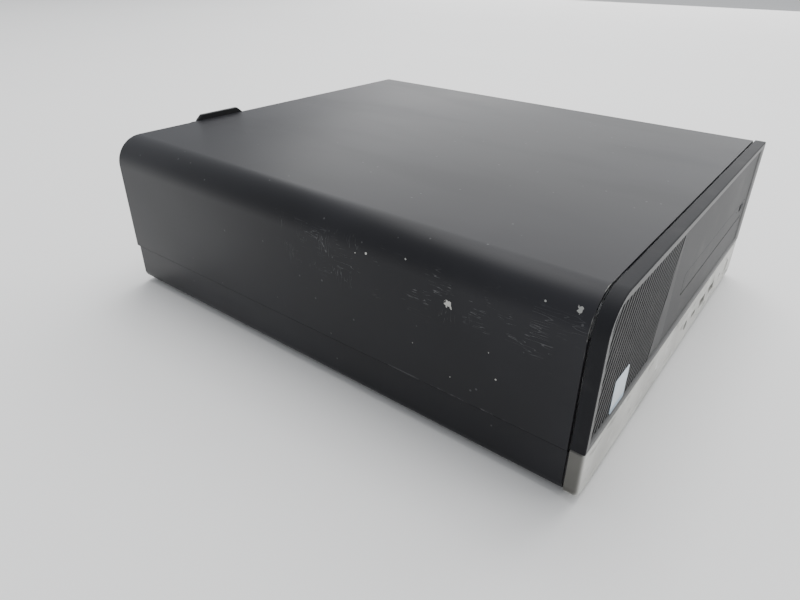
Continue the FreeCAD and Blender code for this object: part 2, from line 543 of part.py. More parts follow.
def fan_frame(name, side, thick, bore, hub, at):
    """Square fan frame round a bore, with a motor mount on three struts at the rear."""
    block = box(name + "Block", (side, thick, side), at)
    centre = (f"{at[0]} + {side} / 2", at[1], f"{at[2]} + {side} / 2")
    tunnel = rod(name + "Tunnel", bore, f"{thick} + 2", (centre[0], f"{at[1]} - 1", centre[2]), "y")
    rear = f"{at[1]} + {thick} - 2.5"
    holes = [rod(f"{name}Hole{i}", "2", f"{thick} + 2",
                 (f"{at[0]} + {x}", f"{at[1]} - 1", f"{at[2]} + {z}"), "y")
             for i, (x, z) in enumerate(((4, 4), (f"{side} - 4", 4), (4, f"{side} - 4"), (f"{side} - 4", f"{side} - 4")))]
    frame = cut(name + "Frame", block, [tunnel] + holes)
    mount = rod(name + "Mount", hub, "2.5", (centre[0], rear, centre[2]), "y")
    shaft = rod(name + "Shaft", "1.5", "8", (centre[0], f"{rear} - 8", centre[2]), "y")
    struts = [box(f"{name}Strut{i}", (f"{bore} * 2 + 1" if i == 0 else "4", "2.5", "4" if i == 0 else f"{bore} * 2 + 1"),
                  (f"{centre[0]} - {bore} - 0.5" if i == 0 else f"{centre[0]} - 2", rear,
                   f"{centre[2]} - 2" if i == 0 else f"{centre[2]} - {bore} - 0.5")) for i in range(2)]
    return fuse(name, [frame, mount, shaft] + struts)


def power_supply():
    """Folded-sheet supply: case, circuit board with its tall parts, rear fan and mains inlet."""
    at = ("supply_left", "depth - sheet - supply_long", "supply_low")
    floor = "(supply_low + sheet)"
    case = box("SupplyOuter", ("supply_width", "supply_long", "supply_high"), at)
    inner = box("SupplyInner", ("supply_width - 2 * sheet", "supply_long - 2 * sheet", "supply_high - 2 * sheet"),
                ("supply_left + sheet", "depth - supply_long", floor))
    fan_x, fan_z = "(supply_left + 4 + supply_fan_radius)", "(supply_low + 4 + supply_fan_radius)"
    port = rod("SupplyPort", "supply_fan_radius - 2", "4", (fan_x, "depth - sheet * 2 - 1", fan_z), "y")
    inlet_at = ("supply_left + supply_width - 19.5", "supply_low + 8")
    inlet_hole = box("SupplyInletHole", ("inlet_high - 4", "4", "inlet_width - 2"),
                     (f"{inlet_at[0]}", "depth - sheet * 2 - 1", f"{inlet_at[1]}"))
    vents = [box(f"SupplyFrontVent{i}{j}", ("9", "4", "2.6"), (f"supply_left + {8 + 13 * i}", f"{at[1]} - 1", f"{12 + 7 * j}"))
             for i in range(5) for j in range(6)]
    piece(cut("SupplyCase", case, [inner, port, inlet_hole] + vents), "supply_case")
    pcb_at = ("supply_left + 4", f"{at[1]} + 4", f"{floor} + 3")
    board = box("SupplyPcb", ("supply_width - 8", "supply_long - 40", "pcb"), pcb_at)
    posts = [box(f"SupplyPost{i}", ("5", "5", "3"), (f"supply_left + {x}", f"{at[1]} + {y}", floor))
             for i, (x, y) in enumerate(((6, 6), (68, 6), (6, 92), (68, 92)))]
    coil = box("SupplyCoil", ("26", "30", "26"), ("supply_left + 30", f"{at[1]} + 40", f"{floor} + 3 + pcb"))
    sinks = [box(f"SupplySink{i}", ("3", "70", "34"), (f"supply_left + {x}", f"{at[1]} + 14", f"{floor} + 3 + pcb"))
             for i, x in enumerate((14, 62))]
    cans = [rod(f"SupplyCan{i}", "7", "28", (f"supply_left + {x}", f"{at[1]} + {y}", f"{floor} + 3 + pcb"))
            for i, (x, y) in enumerate(((32, 24), (50, 24), (30, 84), (50, 84)))]
    piece(fuse("SupplyBoard", [board, coil] + posts + sinks + cans), "supply_circuit")
    frame_at = ("supply_left + 4", "depth - 2 * sheet - 22", "supply_low + 4")
    frame = fan_frame("SupplyFan", "(2 * supply_fan_radius)", "22", "(supply_fan_radius - 1.5)", "9", frame_at)
    piece(frame, "supply_fan_frame")
    rotor = blade_ring("SupplyRotor", "9", "supply_fan_radius - 2.5", "12",
                       (fan_x, f"{frame_at[1]} + 5", fan_z), "blade_count")
    piece(rotor, "supply_fan_rotor")
    shell_box = box("InletOuter", ("inlet_high - 5", "17", "inlet_width - 3"),
                    (f"{inlet_at[0]} + 0.5", "depth - 16", f"{inlet_at[1]} + 0.5"))
    cavity = box("InletCavity", ("inlet_high - 8", "16", "inlet_width - 6"),
                 (f"{inlet_at[0]} + 2", "depth - 13", f"{inlet_at[1]} + 2"))
    pins = [box(f"InletPin{i}", ("2", "12", "4"), (f"{inlet_at[0]} + {x}", "depth - 14", f"{inlet_at[1]} + {z}"))
            for i, (x, z) in enumerate(((4, 3.5), (4, 17), (8, 10.5)))]
    piece(fuse("Inlet", [cut("InletShell", shell_box, [cavity])] + pins), "mains_inlet")


# ================================================================ board and what is on it
def motherboard():
    low = "(sheet + standoff)"
    piece(box("Board", ("board_width", BOARD_LONG, "pcb"), ("board_left", "board_front", low)), "motherboard")
    spots = [(x, y) for x in ("board_left + 6", "board_left + board_width - 6")
             for y in ("board_front + 8", f"board_front + {BOARD_LONG} / 2", f"board_front + {BOARD_LONG} - 30")]
    piece(group("Standoffs", [rod(f"Standoff{i}", "standoff_radius", "standoff", (x, y, "sheet"))
                              for i, (x, y) in enumerate(spots)]), "board_standoffs")
    piece(group("BoardScrews", [rod(f"BoardScrew{i}", "standoff_radius", "1.8", (x, y, BOARD_TOP))
                                for i, (x, y) in enumerate(spots)]), "board_screws")
    side = "(cpu_side + 6)"
    frame = box("SocketFrame", (side, side, "socket_high"), (f"cpu_x - {side} / 2", f"cpu_y - {side} / 2", BOARD_TOP))
    piece(frame, "processor_socket")
    chip = box("ProcessorBase", ("cpu_side", "cpu_side", "1.2"),
               ("cpu_x - cpu_side / 2", "cpu_y - cpu_side / 2", f"{BOARD_TOP} + socket_high"))
    cap = box("ProcessorCap", ("cpu_side - 8", "cpu_side - 8", "cpu_high - 1.2"),
              ("cpu_x - cpu_side / 2 + 4", "cpu_y - cpu_side / 2 + 4", f"{BOARD_TOP} + socket_high + 1.2"))
    piece(fuse("Processor", [chip, cap]), "processor")


def heatsink():
    """Extruded sink: a base plate, and thin fins along the airflow made by one fin and a pattern."""
    body = new_body("Heatsink", ("cpu_x - sink_side / 2", "cpu_y - sink_side / 2", f"{BOARD_TOP} + socket_high + cpu_high"))
    made = pad(body, "SinkBase", outline(body, "SinkBaseOutline", rectangle("0", "0", "sink_side", "sink_base")), "sink_side")
    fin = outline(body, "SinkFinOutline", rectangle("0", "sink_base", "fin_thick", "sink_high"))
    first = pad(body, "SinkFin", fin, "sink_side")
    fins = body.newObject("PartDesign::LinearPattern", "SinkFins")
    fins.Originals = [first]
    x_axis = [f for f in body.Origin.OriginFeatures if f.Role == "X_Axis"][0]
    fins.Direction = (x_axis, [""])
    fins.setExpression("Length", bind("floor((sink_side - fin_thick) / fin_pitch) * fin_pitch"))
    fins.setExpression("Occurrences", bind("floor((sink_side - fin_thick) / fin_pitch) + 1"))
    body.Tip = fins
    doc.recompute()
    if body.Shape.Volume <= made.Shape.Volume * 1.5:
        raise RuntimeError("the fins are missing")
    piece(body, "processor_heatsink")


def front_fan():
    left, low = "(board_left + 6)", "(sheet + 8)"
    piece(fan_frame("Fan", "fan_side", "fan_thick", "fan_bore", "fan_hub", (left, "fan_front", low)), "fan_frame")
    rotor = blade_ring("FanRotor", "fan_hub", "fan_bore - 1", "fan_thick - 11",
                       (f"{left} + fan_side / 2", "fan_front + 5", f"{low} + fan_side / 2"), "blade_count")
    piece(rotor, "fan_rotor")
    reach = f"(fan_front - {FACE} - sheet)"
    outer = box("DuctOuter", ("fan_side", reach, "fan_side"), (left, f"{FACE} + sheet", low))
    inner = box("DuctInner", ("fan_side - 3", f"{reach} + 2", "fan_side - 3"),
                (f"{left} + 1.5", f"{FACE} + sheet - 1", f"{low} + 1.5"))
    piece(cut("Duct", outer, [inner]), "fan_duct")


def memory():
    count = 4
    slots, modules = [], []
    for i in range(count):
        x = f"dimm_x + {i} * dimm_pitch"
        base = box(f"DimmBase{i}", ("6.5", "dimm_long + 8", "7"), (f"{x} - 3.25", "dimm_y - 4", BOARD_TOP))
        ends = [box(f"DimmEnd{i}{j}", ("6.5", "5", "16"), (f"{x} - 3.25", y, BOARD_TOP))
                for j, y in enumerate(("dimm_y - 8", "dimm_y + dimm_long + 3"))]
        groove = box(f"DimmGroove{i}", ("1.6", "dimm_long + 1", "6"), (f"{x} - 0.8", "dimm_y - 0.5", f"{BOARD_TOP} + 3"))
        slots.append(cut(f"DimmSlot{i}", fuse(f"DimmBody{i}", [base] + ends), [groove]))
        if i % 2 == 0:
            card = box(f"DimmCard{i}", ("1.3", "dimm_long", "dimm_high"), (f"{x} - 0.65", "dimm_y", f"{BOARD_TOP} + 3"))
            chips = [box(f"DimmChip{i}{j}", ("1", "9", "12"),
                         (f"{x} + 0.65", f"dimm_y + 6 + {j} * 15.5", f"{BOARD_TOP} + 14")) for j in range(8)]
            modules.append(fuse(f"DimmModule{i}", [card] + chips))
    piece(group("MemorySlots", slots), "memory_slots")
    piece(group("MemoryModules", modules), "memory_modules")


def expansion():
    """Three low card slots with their sheet covers, a clamp bar over the covers' tabs, and its screws."""
    connectors, covers = [], []
    for i, long in enumerate(("80", "25", "39")):
        x = f"slot_x + {i} * slot_pitch"
        block = box(f"CardBlock{i}", ("7.5", long, "11"), (f"{x} - 3.75", f"depth - 18 - {long}", BOARD_TOP))
        groove = box(f"CardGroove{i}", ("1.7", f"{long} - 4", "8"), (f"{x} - 0.85", f"depth - 16 - {long}", f"{BOARD_TOP} + 4"))
        connectors.append(cut(f"CardSlot{i}", block, [groove]))
        plate = box(f"CoverPlate{i}", ("slot_width", "sheet", "slot_tall"),
                    (f"{x} - slot_width / 2", "depth - 2 * sheet", "slot_low"))
        tab = box(f"CoverTab{i}", ("slot_width", "10", "sheet"),
                  (f"{x} - slot_width / 2", "depth - sheet - 10", "slot_low + slot_tall"))
        covers.append(fuse(f"SlotCover{i}", [plate, tab]))
    piece(group("CardSlots", connectors), "card_slots")
    piece(group("SlotCovers", covers), "slot_covers")
    bar = box("ClampBar", ("3 * slot_pitch", "8", "2"), ("slot_x - slot_pitch / 2", "depth - sheet - 9", "slot_low + slot_tall + sheet"))
    piece(bar, "slot_clamp")


def board_parts():
    """Smaller parts on the board: storage card, coin cell, chipset sink, connectors and capacitors."""
    card = box("SsdCard", ("22", "80", "0.8"), ("14", "204", f"{BOARD_TOP} + 4"))
    chips = [box(f"SsdChip{i}", ("14", "18", "1.2"), ("18", f"{216 + 22 * i}", f"{BOARD_TOP} + 4.8")) for i in range(3)]
    piece(fuse("Ssd", [card] + chips), "storage_card")
    edge = box("SsdSocket", ("22", "7", "5.6"), ("14", "197", BOARD_TOP))
    post = rod("SsdPost", "3", "4", ("25", "282", BOARD_TOP))
    holder = cut("CellHolder", rod("CellCup", "12", "5", ("98", "252", BOARD_TOP)),
                 [rod("CellSpace", "10.2", "4", ("98", "252", f"{BOARD_TOP} + 1.6"))])
    piece(holder, "cell_holder")
    piece(rod("Cell", "10", "3.2", ("98", "252", f"{BOARD_TOP} + 1.6")), "coin_cell")
    base = box("ChipsetBase", ("34", "34", "4"), ("50", "232", f"{BOARD_TOP}"))
    fins = [box(f"ChipsetFin{i}", ("1.6", "34", "9"), (f"{50 + 4.05 * i}", "232", f"{BOARD_TOP} + 4")) for i in range(9)]
    piece(fuse("ChipsetSink", [base] + fins), "chipset_heatsink")
    sockets = [box(f"DataSocket{i}", ("9", "16", "8"), (f"{154 + 12 * i}", "172", BOARD_TOP)) for i in range(2)]
    power = [box("PowerSocketMain", ("24", "10", "12"), ("152", "194", BOARD_TOP)),
             box("PowerSocketCpu", ("14", "10", "12"), ("84", "178", BOARD_TOP))]
    piece(group("BoardSockets", sockets + power + [edge, post]), "board_sockets")
    spots = [(20, 78), (30, 78), (40, 78), (50, 78), (84, 76), (22, 182), (32, 182), (42, 182), (112, 230), (112, 242)]
    piece(group("Capacitors", [rod(f"Can{i}", "3.2", "9", (f"{x}", f"{y}", BOARD_TOP)) for i, (x, y) in enumerate(spots)]),
          "capacitors")


def rear_ports():
    """Rear connectors on the board, each through its hole in the input and output shield."""
    front, out = "depth - 22", "22 + port_out"
    def hollow(name, x, wide, z, high, wall, deep="14"):
        outer = box(name + "Outer", (wide, out, high), (f"{x} - {wide} / 2", front, z))
        inner = box(name + "Inner", (f"{wide} - 2 * {wall}", deep, f"{high} - 2 * {wall}"),
                    (f"{x} - {wide} / 2 + {wall}", f"depth + port_out - {deep} + 0.5", f"{z} + {wall}"))
        return outer, inner
    base = BOARD_TOP
    holes, ports = [], []
    outer, inner = hollow("Ethernet", "ethernet_x", "ethernet_width", f"{base} + 15", "ethernet_high", "1.5")
    lower, low_inner = hollow("UnderUsb", "ethernet_x", "ethernet_width", base, "15", "1.2")
    shelf = box("UnderShelf", ("ethernet_width - 4", "12", "2"), ("ethernet_x - ethernet_width / 2 + 2", "depth - 12", f"{base} + 6.5"))
    piece(fuse("EthernetPort", [cut("EthernetCut", fuse("EthernetBlock", [outer, lower]), [inner, low_inner]), shelf]),
          "ethernet_port")
    stack, cells = box("StackBlock", ("15", out, "29"), ("usb_stack_x - 7.5", front, base)), []
    tongues = []
    for i in range(2):
        cells.append(box(f"StackCell{i}", ("13", "14", "12"), ("usb_stack_x - 6.5", "depth + port_out - 13.5", f"{base} + {1.5 + 14 * i}")))
        tongues.append(box(f"StackTongue{i}", ("10", "12", "2"), ("usb_stack_x - 5", "depth - 12.5", f"{base} + {6.5 + 14 * i}")))
    piece(fuse("UsbStack", [cut("StackCut", stack, cells)] + tongues), "rear_usb_ports")
    for i in range(2):
        x = f"display_x + {i} * 20"
        outer, inner = hollow(f"Display{i}", x, "17", f"{base} + 1", "7", "0.9", "10")
        tongue = box(f"DisplayTongue{i}", ("12", "8", "1.2"), (f"{x} - 6", "depth - 9", f"{base} + 3.9"))
        stand = box(f"DisplayStand{i}", ("12", "12", "1"), (f"{x} - 6", front, base))
        ports.append(fuse(f"DisplayPort{i}", [cut(f"DisplayCut{i}", outer, [inner]), tongue, stand]))
    piece(group("DisplayPorts", ports), "display_ports")
    jacks = []
    for i in range(2):
        block = box(f"AudioBlock{i}", ("9", "12", "11"), ("audio_x - 4.5", "depth - 14", f"{base} + {12 * i}"))
        barrel = rod(f"AudioBarrel{i}", "3.6", "3", ("audio_x", "depth - 2", f"{base} + 6 + {12 * i}"), "y")
        bore = rod(f"AudioBore{i}", "jack_radius", "12", ("audio_x", "depth - 10", f"{base} + 6 + {12 * i}"), "y")
        jacks.append(cut(f"AudioJack{i}", fuse(f"AudioBody{i}", [block, barrel]), [bore]))
    piece(group("AudioJacks", jacks), "audio_jacks")
    plate = box("ShieldSheet", ("103", "0.6", "32"), ("9.5", "depth - sheet - 0.6 + 0.8", "sheet + 7"))
    gap = "0.2"
    holes = [
        box("ShieldEthernet", (f"ethernet_width + 2 * {gap}", "4", "30"), (f"ethernet_x - ethernet_width / 2 - {gap}", "depth - 3", f"{base} - {gap}")),
        box("ShieldStack", (f"15 + 2 * {gap}", "4", "30"), (f"usb_stack_x - 7.5 - {gap}", "depth - 3", f"{base} - {gap}")),
        box("ShieldDisplay", (f"37 + 2 * {gap}", "4", f"8.2 + {gap}"), (f"display_x - 8.5 - {gap}", "depth - 3", f"{base} - {gap}")),
    ]
    holes += [rod(f"ShieldAudio{i}", "3.6 + 0.2", "4", ("audio_x", "depth - 3", f"{base} + 6 + {12 * i}"), "y") for i in range(2)]
    piece(cut("Shield", plate, holes), "port_shield")


for make in (base_pan, top_cover, cover_latch, feet, front_plate, rear_panel, front_bezel, bezel_grille, bezel_chin,
             power_button, front_ports, optical_drive, hard_drive, power_supply, motherboard, heatsink, front_fan,
             memory, expansion, board_parts, rear_ports):
    make()
doc.recompute()

# ---------------------------------------------------------------- checks, then one file for each piece
for obj in doc.Objects:
    if "Invalid" in obj.State or "Error" in obj.State:
        raise RuntimeError(f"{obj.Name} failed: {obj.State}")
os.makedirs("parts", exist_ok=True)
for obj in PIECES:
    shape = obj.Shape
    if shape.isNull() or not shape.isValid() or not shape.Solids:
        raise RuntimeError(f"{obj.Label} is not a valid solid")
    shape.exportStep(f"parts/{obj.Label}.step")
print(len(PIECES), "pieces")
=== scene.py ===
import json
import math
import bmesh
import bpy
import numpy as np
from mathutils import Matrix, Vector


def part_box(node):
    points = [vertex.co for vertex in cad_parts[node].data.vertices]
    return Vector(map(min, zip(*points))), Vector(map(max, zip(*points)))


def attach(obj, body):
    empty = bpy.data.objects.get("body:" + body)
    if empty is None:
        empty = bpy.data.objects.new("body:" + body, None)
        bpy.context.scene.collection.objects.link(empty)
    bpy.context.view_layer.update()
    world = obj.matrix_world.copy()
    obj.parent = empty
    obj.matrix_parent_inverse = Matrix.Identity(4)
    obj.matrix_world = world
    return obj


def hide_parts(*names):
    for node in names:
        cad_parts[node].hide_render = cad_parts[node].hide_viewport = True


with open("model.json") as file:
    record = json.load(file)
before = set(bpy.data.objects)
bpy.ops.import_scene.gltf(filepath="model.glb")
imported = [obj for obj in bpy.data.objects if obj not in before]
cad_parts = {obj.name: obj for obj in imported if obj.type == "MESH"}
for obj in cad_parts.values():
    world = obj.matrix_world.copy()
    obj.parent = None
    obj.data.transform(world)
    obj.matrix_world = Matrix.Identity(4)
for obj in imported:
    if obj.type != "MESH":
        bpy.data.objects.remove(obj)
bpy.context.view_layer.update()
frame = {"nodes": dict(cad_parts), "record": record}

record = frame["record"]
bodyOf = {node: body for body, nodes in record["behaviour"]["bodies"].items() for node in nodes}
# every piece is worked out in millimetres from the case's left, front and underside
home = np.array([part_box("top_cover")[0][0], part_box("front_bezel")[0][1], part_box("base_pan")[0][2]])
left, front, under = home.tolist()


def span(node):
    # a node's lowest and highest corner, in the same millimetres
    low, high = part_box(node)
    return (np.array(low) - home) * 1000, (np.array(high) - home) * 1000


# shader sums written as ordinary Python
class Wire:
    # wraps a number socket, so that sums on it add Math nodes
    def __init__(self, shade, socket):
        self.shade = shade
        self.socket = socket

    def sum(self, operation, first, second=0.0):
        return self.shade.node("ShaderNodeMath", {"operation": operation}, {0: first, 1: second})

    def __add__(self, other):
        return self.sum("ADD", self, other)

    def __radd__(self, other):
        return self.sum("ADD", other, self)

    def __sub__(self, other):
        return self.sum("SUBTRACT", self, other)

    def __rsub__(self, other):
        return self.sum("SUBTRACT", other, self)

    def __mul__(self, other):
        return self.sum("MULTIPLY", self, other)

    def __rmul__(self, other):
        return self.sum("MULTIPLY", other, self)

    def __truediv__(self, other):
        return self.sum("DIVIDE", self, other)

    def __abs__(self):
        return self.sum("ABSOLUTE", self)

    def most(self, other):
        return self.sum("MAXIMUM", self, other)


class Shade:
    # one material and the few nodes that it is made from
    def __init__(self, name):
        self.material = bpy.data.materials.new(name)
        self.material.use_nodes = True
        self.tree = self.material.node_tree
        self.tree.nodes.clear()
        self.spot = self.node("ShaderNodeTexCoord", out="Object")
        parts = self.node("ShaderNodeSeparateXYZ", inputs={0: self.spot})
        outs = parts.socket.node.outputs
        self.x, self.y, self.z = (Wire(self, outs[i]) for i in range(3))

    def node(self, kind, settings=None, inputs=None, out=0):
        made = self.tree.nodes.new(kind)
        for key, given in (settings or {}).items():
            if key == "stops":
                while len(made.color_ramp.elements) < len(given):
                    made.color_ramp.elements.new(0.5)
                for element, (place, colour) in zip(made.color_ramp.elements, given):
                    element.position = place
                    element.color = (*colour, 1)
            else:
                setattr(made, key, given)
        for key, given in (inputs or {}).items():
            if isinstance(given, Wire):
                self.tree.links.new(given.socket, made.inputs[key])
            else:
                made.inputs[key].default_value = given
        return Wire(self, made.outputs[out])

    def placed(self, stretch=(1, 1, 1), turn=(0, 0, 0), shift=(0, 0, 0)):
        return self.node("ShaderNodeMapping", inputs={
            "Vector": self.spot, "Location": shift, "Rotation": turn, "Scale": stretch})

    def noise(self, scale, detail=2.0, where=None):
        return self.node("ShaderNodeTexNoise", inputs={
            "Vector": where or self.spot, "Scale": scale, "Detail": detail})

    def ease(self, given, low, high):
        # 0 at low, 1 at high, smooth between them
        return self.node("ShaderNodeMapRange", {"interpolation_type": "SMOOTHSTEP"},
                         {"Value": given, "From Min": low, "From Max": high})

    def between(self, given, start, marks):
        # rises from 0 to 1 between the first two marks and falls back between the last two
        rise = self.ease(given, start + marks[0], start + marks[1])
        return rise * (1 - self.ease(given, start + marks[2], start + marks[3]))

    def mix(self, first, second, mask):
        settings = {"data_type": "RGBA"}
        values = [(*c, 1) if isinstance(c, tuple) and len(c) == 3 else c for c in (first, second)]
        return self.node("ShaderNodeMix", settings, {0: mask, 6: values[0], 7: values[1]}, out=2)

    def away(self, spot):
        # how far a point of the piece is from a spot
        return self.node("ShaderNodeVectorMath", {"operation": "DISTANCE"}, {0: self.spot, 1: spot}, out=1)

    def cells(self, scale, where=None, out=0):
        # distance to the nearest of many scattered points, or that point's own colour
        return self.node("ShaderNodeTexVoronoi", {"feature": "F1"}, {
            "Vector": where or self.spot, "Scale": scale}, out=out)

    def saw(self, along, pitch):
        # 0 to 1 over and over along one direction
        return self.node("ShaderNodeMath", {"operation": "FRACT"}, {0: along / pitch})

    def hairline(self, stretch, turn, shift, width, amount):
        # thin crooked lines: where a stretched noise crosses its middle, kept only in patches
        where = self.placed(stretch, turn, shift)
        line = 1 - self.ease(abs(self.noise(1, 1.5, where) - 0.5), 0.0, width)
        patch = self.ease(self.noise(85, 2, self.placed(shift=shift)), amount, amount + 0.06)
        return line * patch * self.ease(self.noise(17, 2, self.placed(shift=shift)), 0.45, 0.56)

    def done(self, colour, roughness, metallic=0.0, relief=None, strength=0.3, distance=0.0002, **fixed):
        values = {"Base Color": colour if isinstance(colour, Wire) else (*colour, 1),
                  "Roughness": roughness, "Metallic": metallic}
        if relief is not None:
            values["Normal"] = self.node("ShaderNodeBump", inputs={
                "Strength": strength, "Distance": distance, "Height": relief})
        for key, given in fixed.items():
            values[key.replace("_", " ")] = given
        skin = self.node("ShaderNodeBsdfPrincipled", inputs=values)
        ending = self.tree.nodes.new("ShaderNodeOutputMaterial")
        self.tree.links.new(skin.socket, ending.inputs["Surface"])
        return self.material


# shapes
def roundRect(x0, z0, x1, z1, radii, inset=0.0, steps=8):
    # four quarter circles, each angle swept by a quarter turn; radii in the order of the corners below
    turn = np.linspace(0, math.pi / 2, steps + 1)
    rings = []
    corners = ((x0, z0, 1, 1, math.pi), (x1, z0, -1, 1, 1.5 * math.pi),
               (x1, z1, -1, -1, 0), (x0, z1, 1, -1, 0.5 * math.pi))
    for (x, z, dx, dz, start), radius in zip(corners, radii):
        left = max(radius - inset, 0.02)
        centre = (x + dx * (inset + left), z + dz * (inset + left))
        angle = start + turn
        rings.append(np.column_stack([centre[0] + left * np.cos(angle), centre[1] + left * np.sin(angle)]))
    return np.concatenate(rings)


def circle(x, z, radius, count=48):
    turn = np.linspace(0, 2 * math.pi, count, endpoint=False)
    return np.column_stack([x + radius * np.cos(turn), z + radius * np.sin(turn)])


def rounded(points, steps=6):
    # a closed outline of straight runs; a third number at a point is the radius of its corner
    count = len(points)
    made = []
    for i, point in enumerate(points):
        here = np.array(point[:2], float)
        radius = point[2] if len(point) > 2 else 0
        if radius == 0:
            made.append(here)
            continue
        before = np.array(points[i - 1][:2], float) - here
        after = np.array(points[(i + 1) % count][:2], float) - here
        before /= np.linalg.norm(before)
        after /= np.linalg.norm(after)
        half = math.acos(np.clip(before @ after, -1, 1)) / 2
        middle = here + (before + after) / np.linalg.norm(before + after) * radius / math.sin(half)
        start = here + before * radius / math.tan(half) - middle
        end = here + after * radius / math.tan(half) - middle
        share = np.linspace(0, 1, steps + 1)[:, None]
        arc = start * (1 - share) + end * share
        made.extend(middle + arc / np.linalg.norm(arc, axis=1)[:, None] * radius)
    return np.array(made)


def shrink(outline, by):
    # every point moves inwards along the mean of its two edges' normals, lengthened at corners
    if by == 0:
        return outline
    ahead = np.roll(outline, -1, 0) - outline
    keep = np.linalg.norm(ahead, axis=1) > 1e-9
    outline, ahead = outline[keep], (np.roll(outline[keep], -1, 0) - outline[keep])
    area = np.sum(outline[:, 0] * np.roll(outline[:, 1], -1) - outline[:, 1] * np.roll(outline[:, 0], -1))
    normal = np.column_stack([-ahead[:, 1], ahead[:, 0]]) / np.linalg.norm(ahead, axis=1)[:, None] * np.sign(area)
    mean = normal + np.roll(normal, 1, 0)
    mean /= np.maximum(np.linalg.norm(mean, axis=1), 1e-6)[:, None]
    stretch = 1 / np.clip(np.sum(mean * normal, axis=1), 0.5, 1)
    return outline + mean * (stretch * by)[:, None]


order = {"y": (0, 2, 1), "z": (0, 1, 2), "x": (2, 0, 1)}


def laid(flat, height, axis):
    # flat outline points and one height become places: along y the outline is x and z, along z it is x and y
    solid = np.column_stack([flat, np.full(len(flat), float(height))])
    return solid[:, order[axis]]


def stack(ring, stations, axis="y", loop=False):
    # rings of one outline, each drawn in by an inset at a height, joined by quads
    # the two ends are closed, or a loop joins them
    if not callable(ring):
        base = ring
        ring = lambda inset: shrink(base, inset)
    rings = [laid(ring(inset), height, axis) for inset, height in stations]
    count, levels = len(rings[0]), len(rings)
    i = np.arange(count)
    j = (i + 1) % count
    faces = []
    for k in range(levels if loop else levels - 1):
        n = (k + 1) % levels
        faces.extend(np.column_stack([k * count + i, k * count + j, n * count + j, n * count + i]).tolist())
    if not loop:
        faces.append(list(range(count))[::-1])
        faces.append(list(range((levels - 1) * count, levels * count)))
    return np.concatenate(rings), faces


def lathe(profile, centre, axis="z", count=40):
    # (radius, height) pairs turned round an axis through a centre
    turn = np.linspace(0, 2 * math.pi, count, endpoint=False)
    radius, height = np.array(profile, float).T
    a = radius[:, None] * np.cos(turn)
    b = radius[:, None] * np.sin(turn)
    h = np.repeat(height[:, None], count, 1)
    points = np.stack([a, b, h], -1).reshape(-1, 3)[:, order[axis]] + np.array(centre, float)
    i = np.arange(count)
    j = (i + 1) % count
    faces = []
    for k in range(len(profile) - 1):
        n = k + 1
        faces.extend(np.column_stack([k * count + i, k * count + j, n * count + j, n * count + i]).tolist())
    faces.append(list(range(count)))
    faces.append(list(range((len(profile) - 1) * count, len(profile) * count)))
    return points, faces


def merged(*shapes):
    # several shapes as one list of points and faces
    points, faces, start = [], [], 0
    for some, these in shapes:
        points.append(some)
        faces.extend([[index + start for index in face] for face in these])
        start += len(some)
    return np.concatenate(points), faces


def blocks(centres, sizes):
    # many small blocks as whole arrays
    centres, sizes = np.array(centres, float), np.array(sizes, float)
    sign = np.array([(-1, -1, -1), (1, -1, -1), (1, 1, -1), (-1, 1, -1),
                     (-1, -1, 1), (1, -1, 1), (1, 1, 1), (-1, 1, 1)], float)
    points = centres[:, None, :] + sizes[:, None, :] / 2 * sign[None]
    sides = np.array([(0, 3, 2, 1), (4, 5, 6, 7), (0, 1, 5, 4), (1, 2, 6, 5), (2, 3, 7, 6), (3, 0, 4, 7)])
    faces = (sides[None] + 8 * np.arange(len(centres))[:, None, None]).reshape(-1, 4)
    return points.reshape(-1, 3), faces.tolist()


# the six faces of a bar whose two ends are listed as corners 0 to 3 and 4 to 7
prism = [(0, 1, 5, 4), (1, 2, 6, 5), (2, 3, 7, 6), (3, 0, 4, 7), (3, 2, 1, 0), (4, 5, 6, 7)]


def wire(path, radius, sides=8):
    # a closed round wire: circles set square to a closed path that lies in one plane across Y
    path = np.array(path, float)
    ahead = np.roll(path, -1, 0) - np.roll(path, 1, 0)
    ahead /= np.linalg.norm(ahead, axis=1)[:, None]
    across = np.array([0.0, 1.0, 0.0])
    out = np.cross(ahead, across)
    turn = np.linspace(0, 2 * math.pi, sides, endpoint=False)
    ring = out[:, None, :] * np.cos(turn)[None, :, None] + across[None, None, :] * np.sin(turn)[None, :, None]
    points = (path[:, None, :] + ring * radius).reshape(-1, 3)
    count = len(path)
    k, i = np.meshgrid(np.arange(count), np.arange(sides), indexing="ij")
    n, j = (k + 1) % count, (i + 1) % sides
    faces = np.stack([k * sides + i, k * sides + j, n * sides + j, n * sides + i], -1).reshape(-1, 4)
    return points, faces.tolist()


def pierced(outline, holes, near, far, axis="y"):
    # a flat filled outline with holes, given a thickness
    flat = bpy.data.curves.new("flat", "CURVE")
    flat.dimensions = "2D"
    flat.fill_mode = "BOTH"
    flat.extrude = abs(far - near) / 2
    for ring in [outline] + list(holes):
        spline = flat.splines.new("POLY")
        spline.points.add(len(ring) - 1)
        spline.points.foreach_set("co", np.column_stack([ring, np.zeros(len(ring)), np.ones(len(ring))]).ravel())
        spline.use_cyclic_u = True
    holder = bpy.data.objects.new("flat", flat)
    bpy.context.collection.objects.link(holder)
    mesh = bpy.data.meshes.new_from_object(holder.evaluated_get(bpy.context.evaluated_depsgraph_get()))
    points = np.zeros(len(mesh.vertices) * 3)
    mesh.vertices.foreach_get("co", points)
    points = points.reshape(-1, 3) + np.array([0, 0, (near + far) / 2])
    faces = [list(face.vertices) for face in mesh.polygons]
    bpy.data.objects.remove(holder)
    bpy.data.curves.remove(flat)
    bpy.data.meshes.remove(mesh)
    return points[:, order[axis]], faces


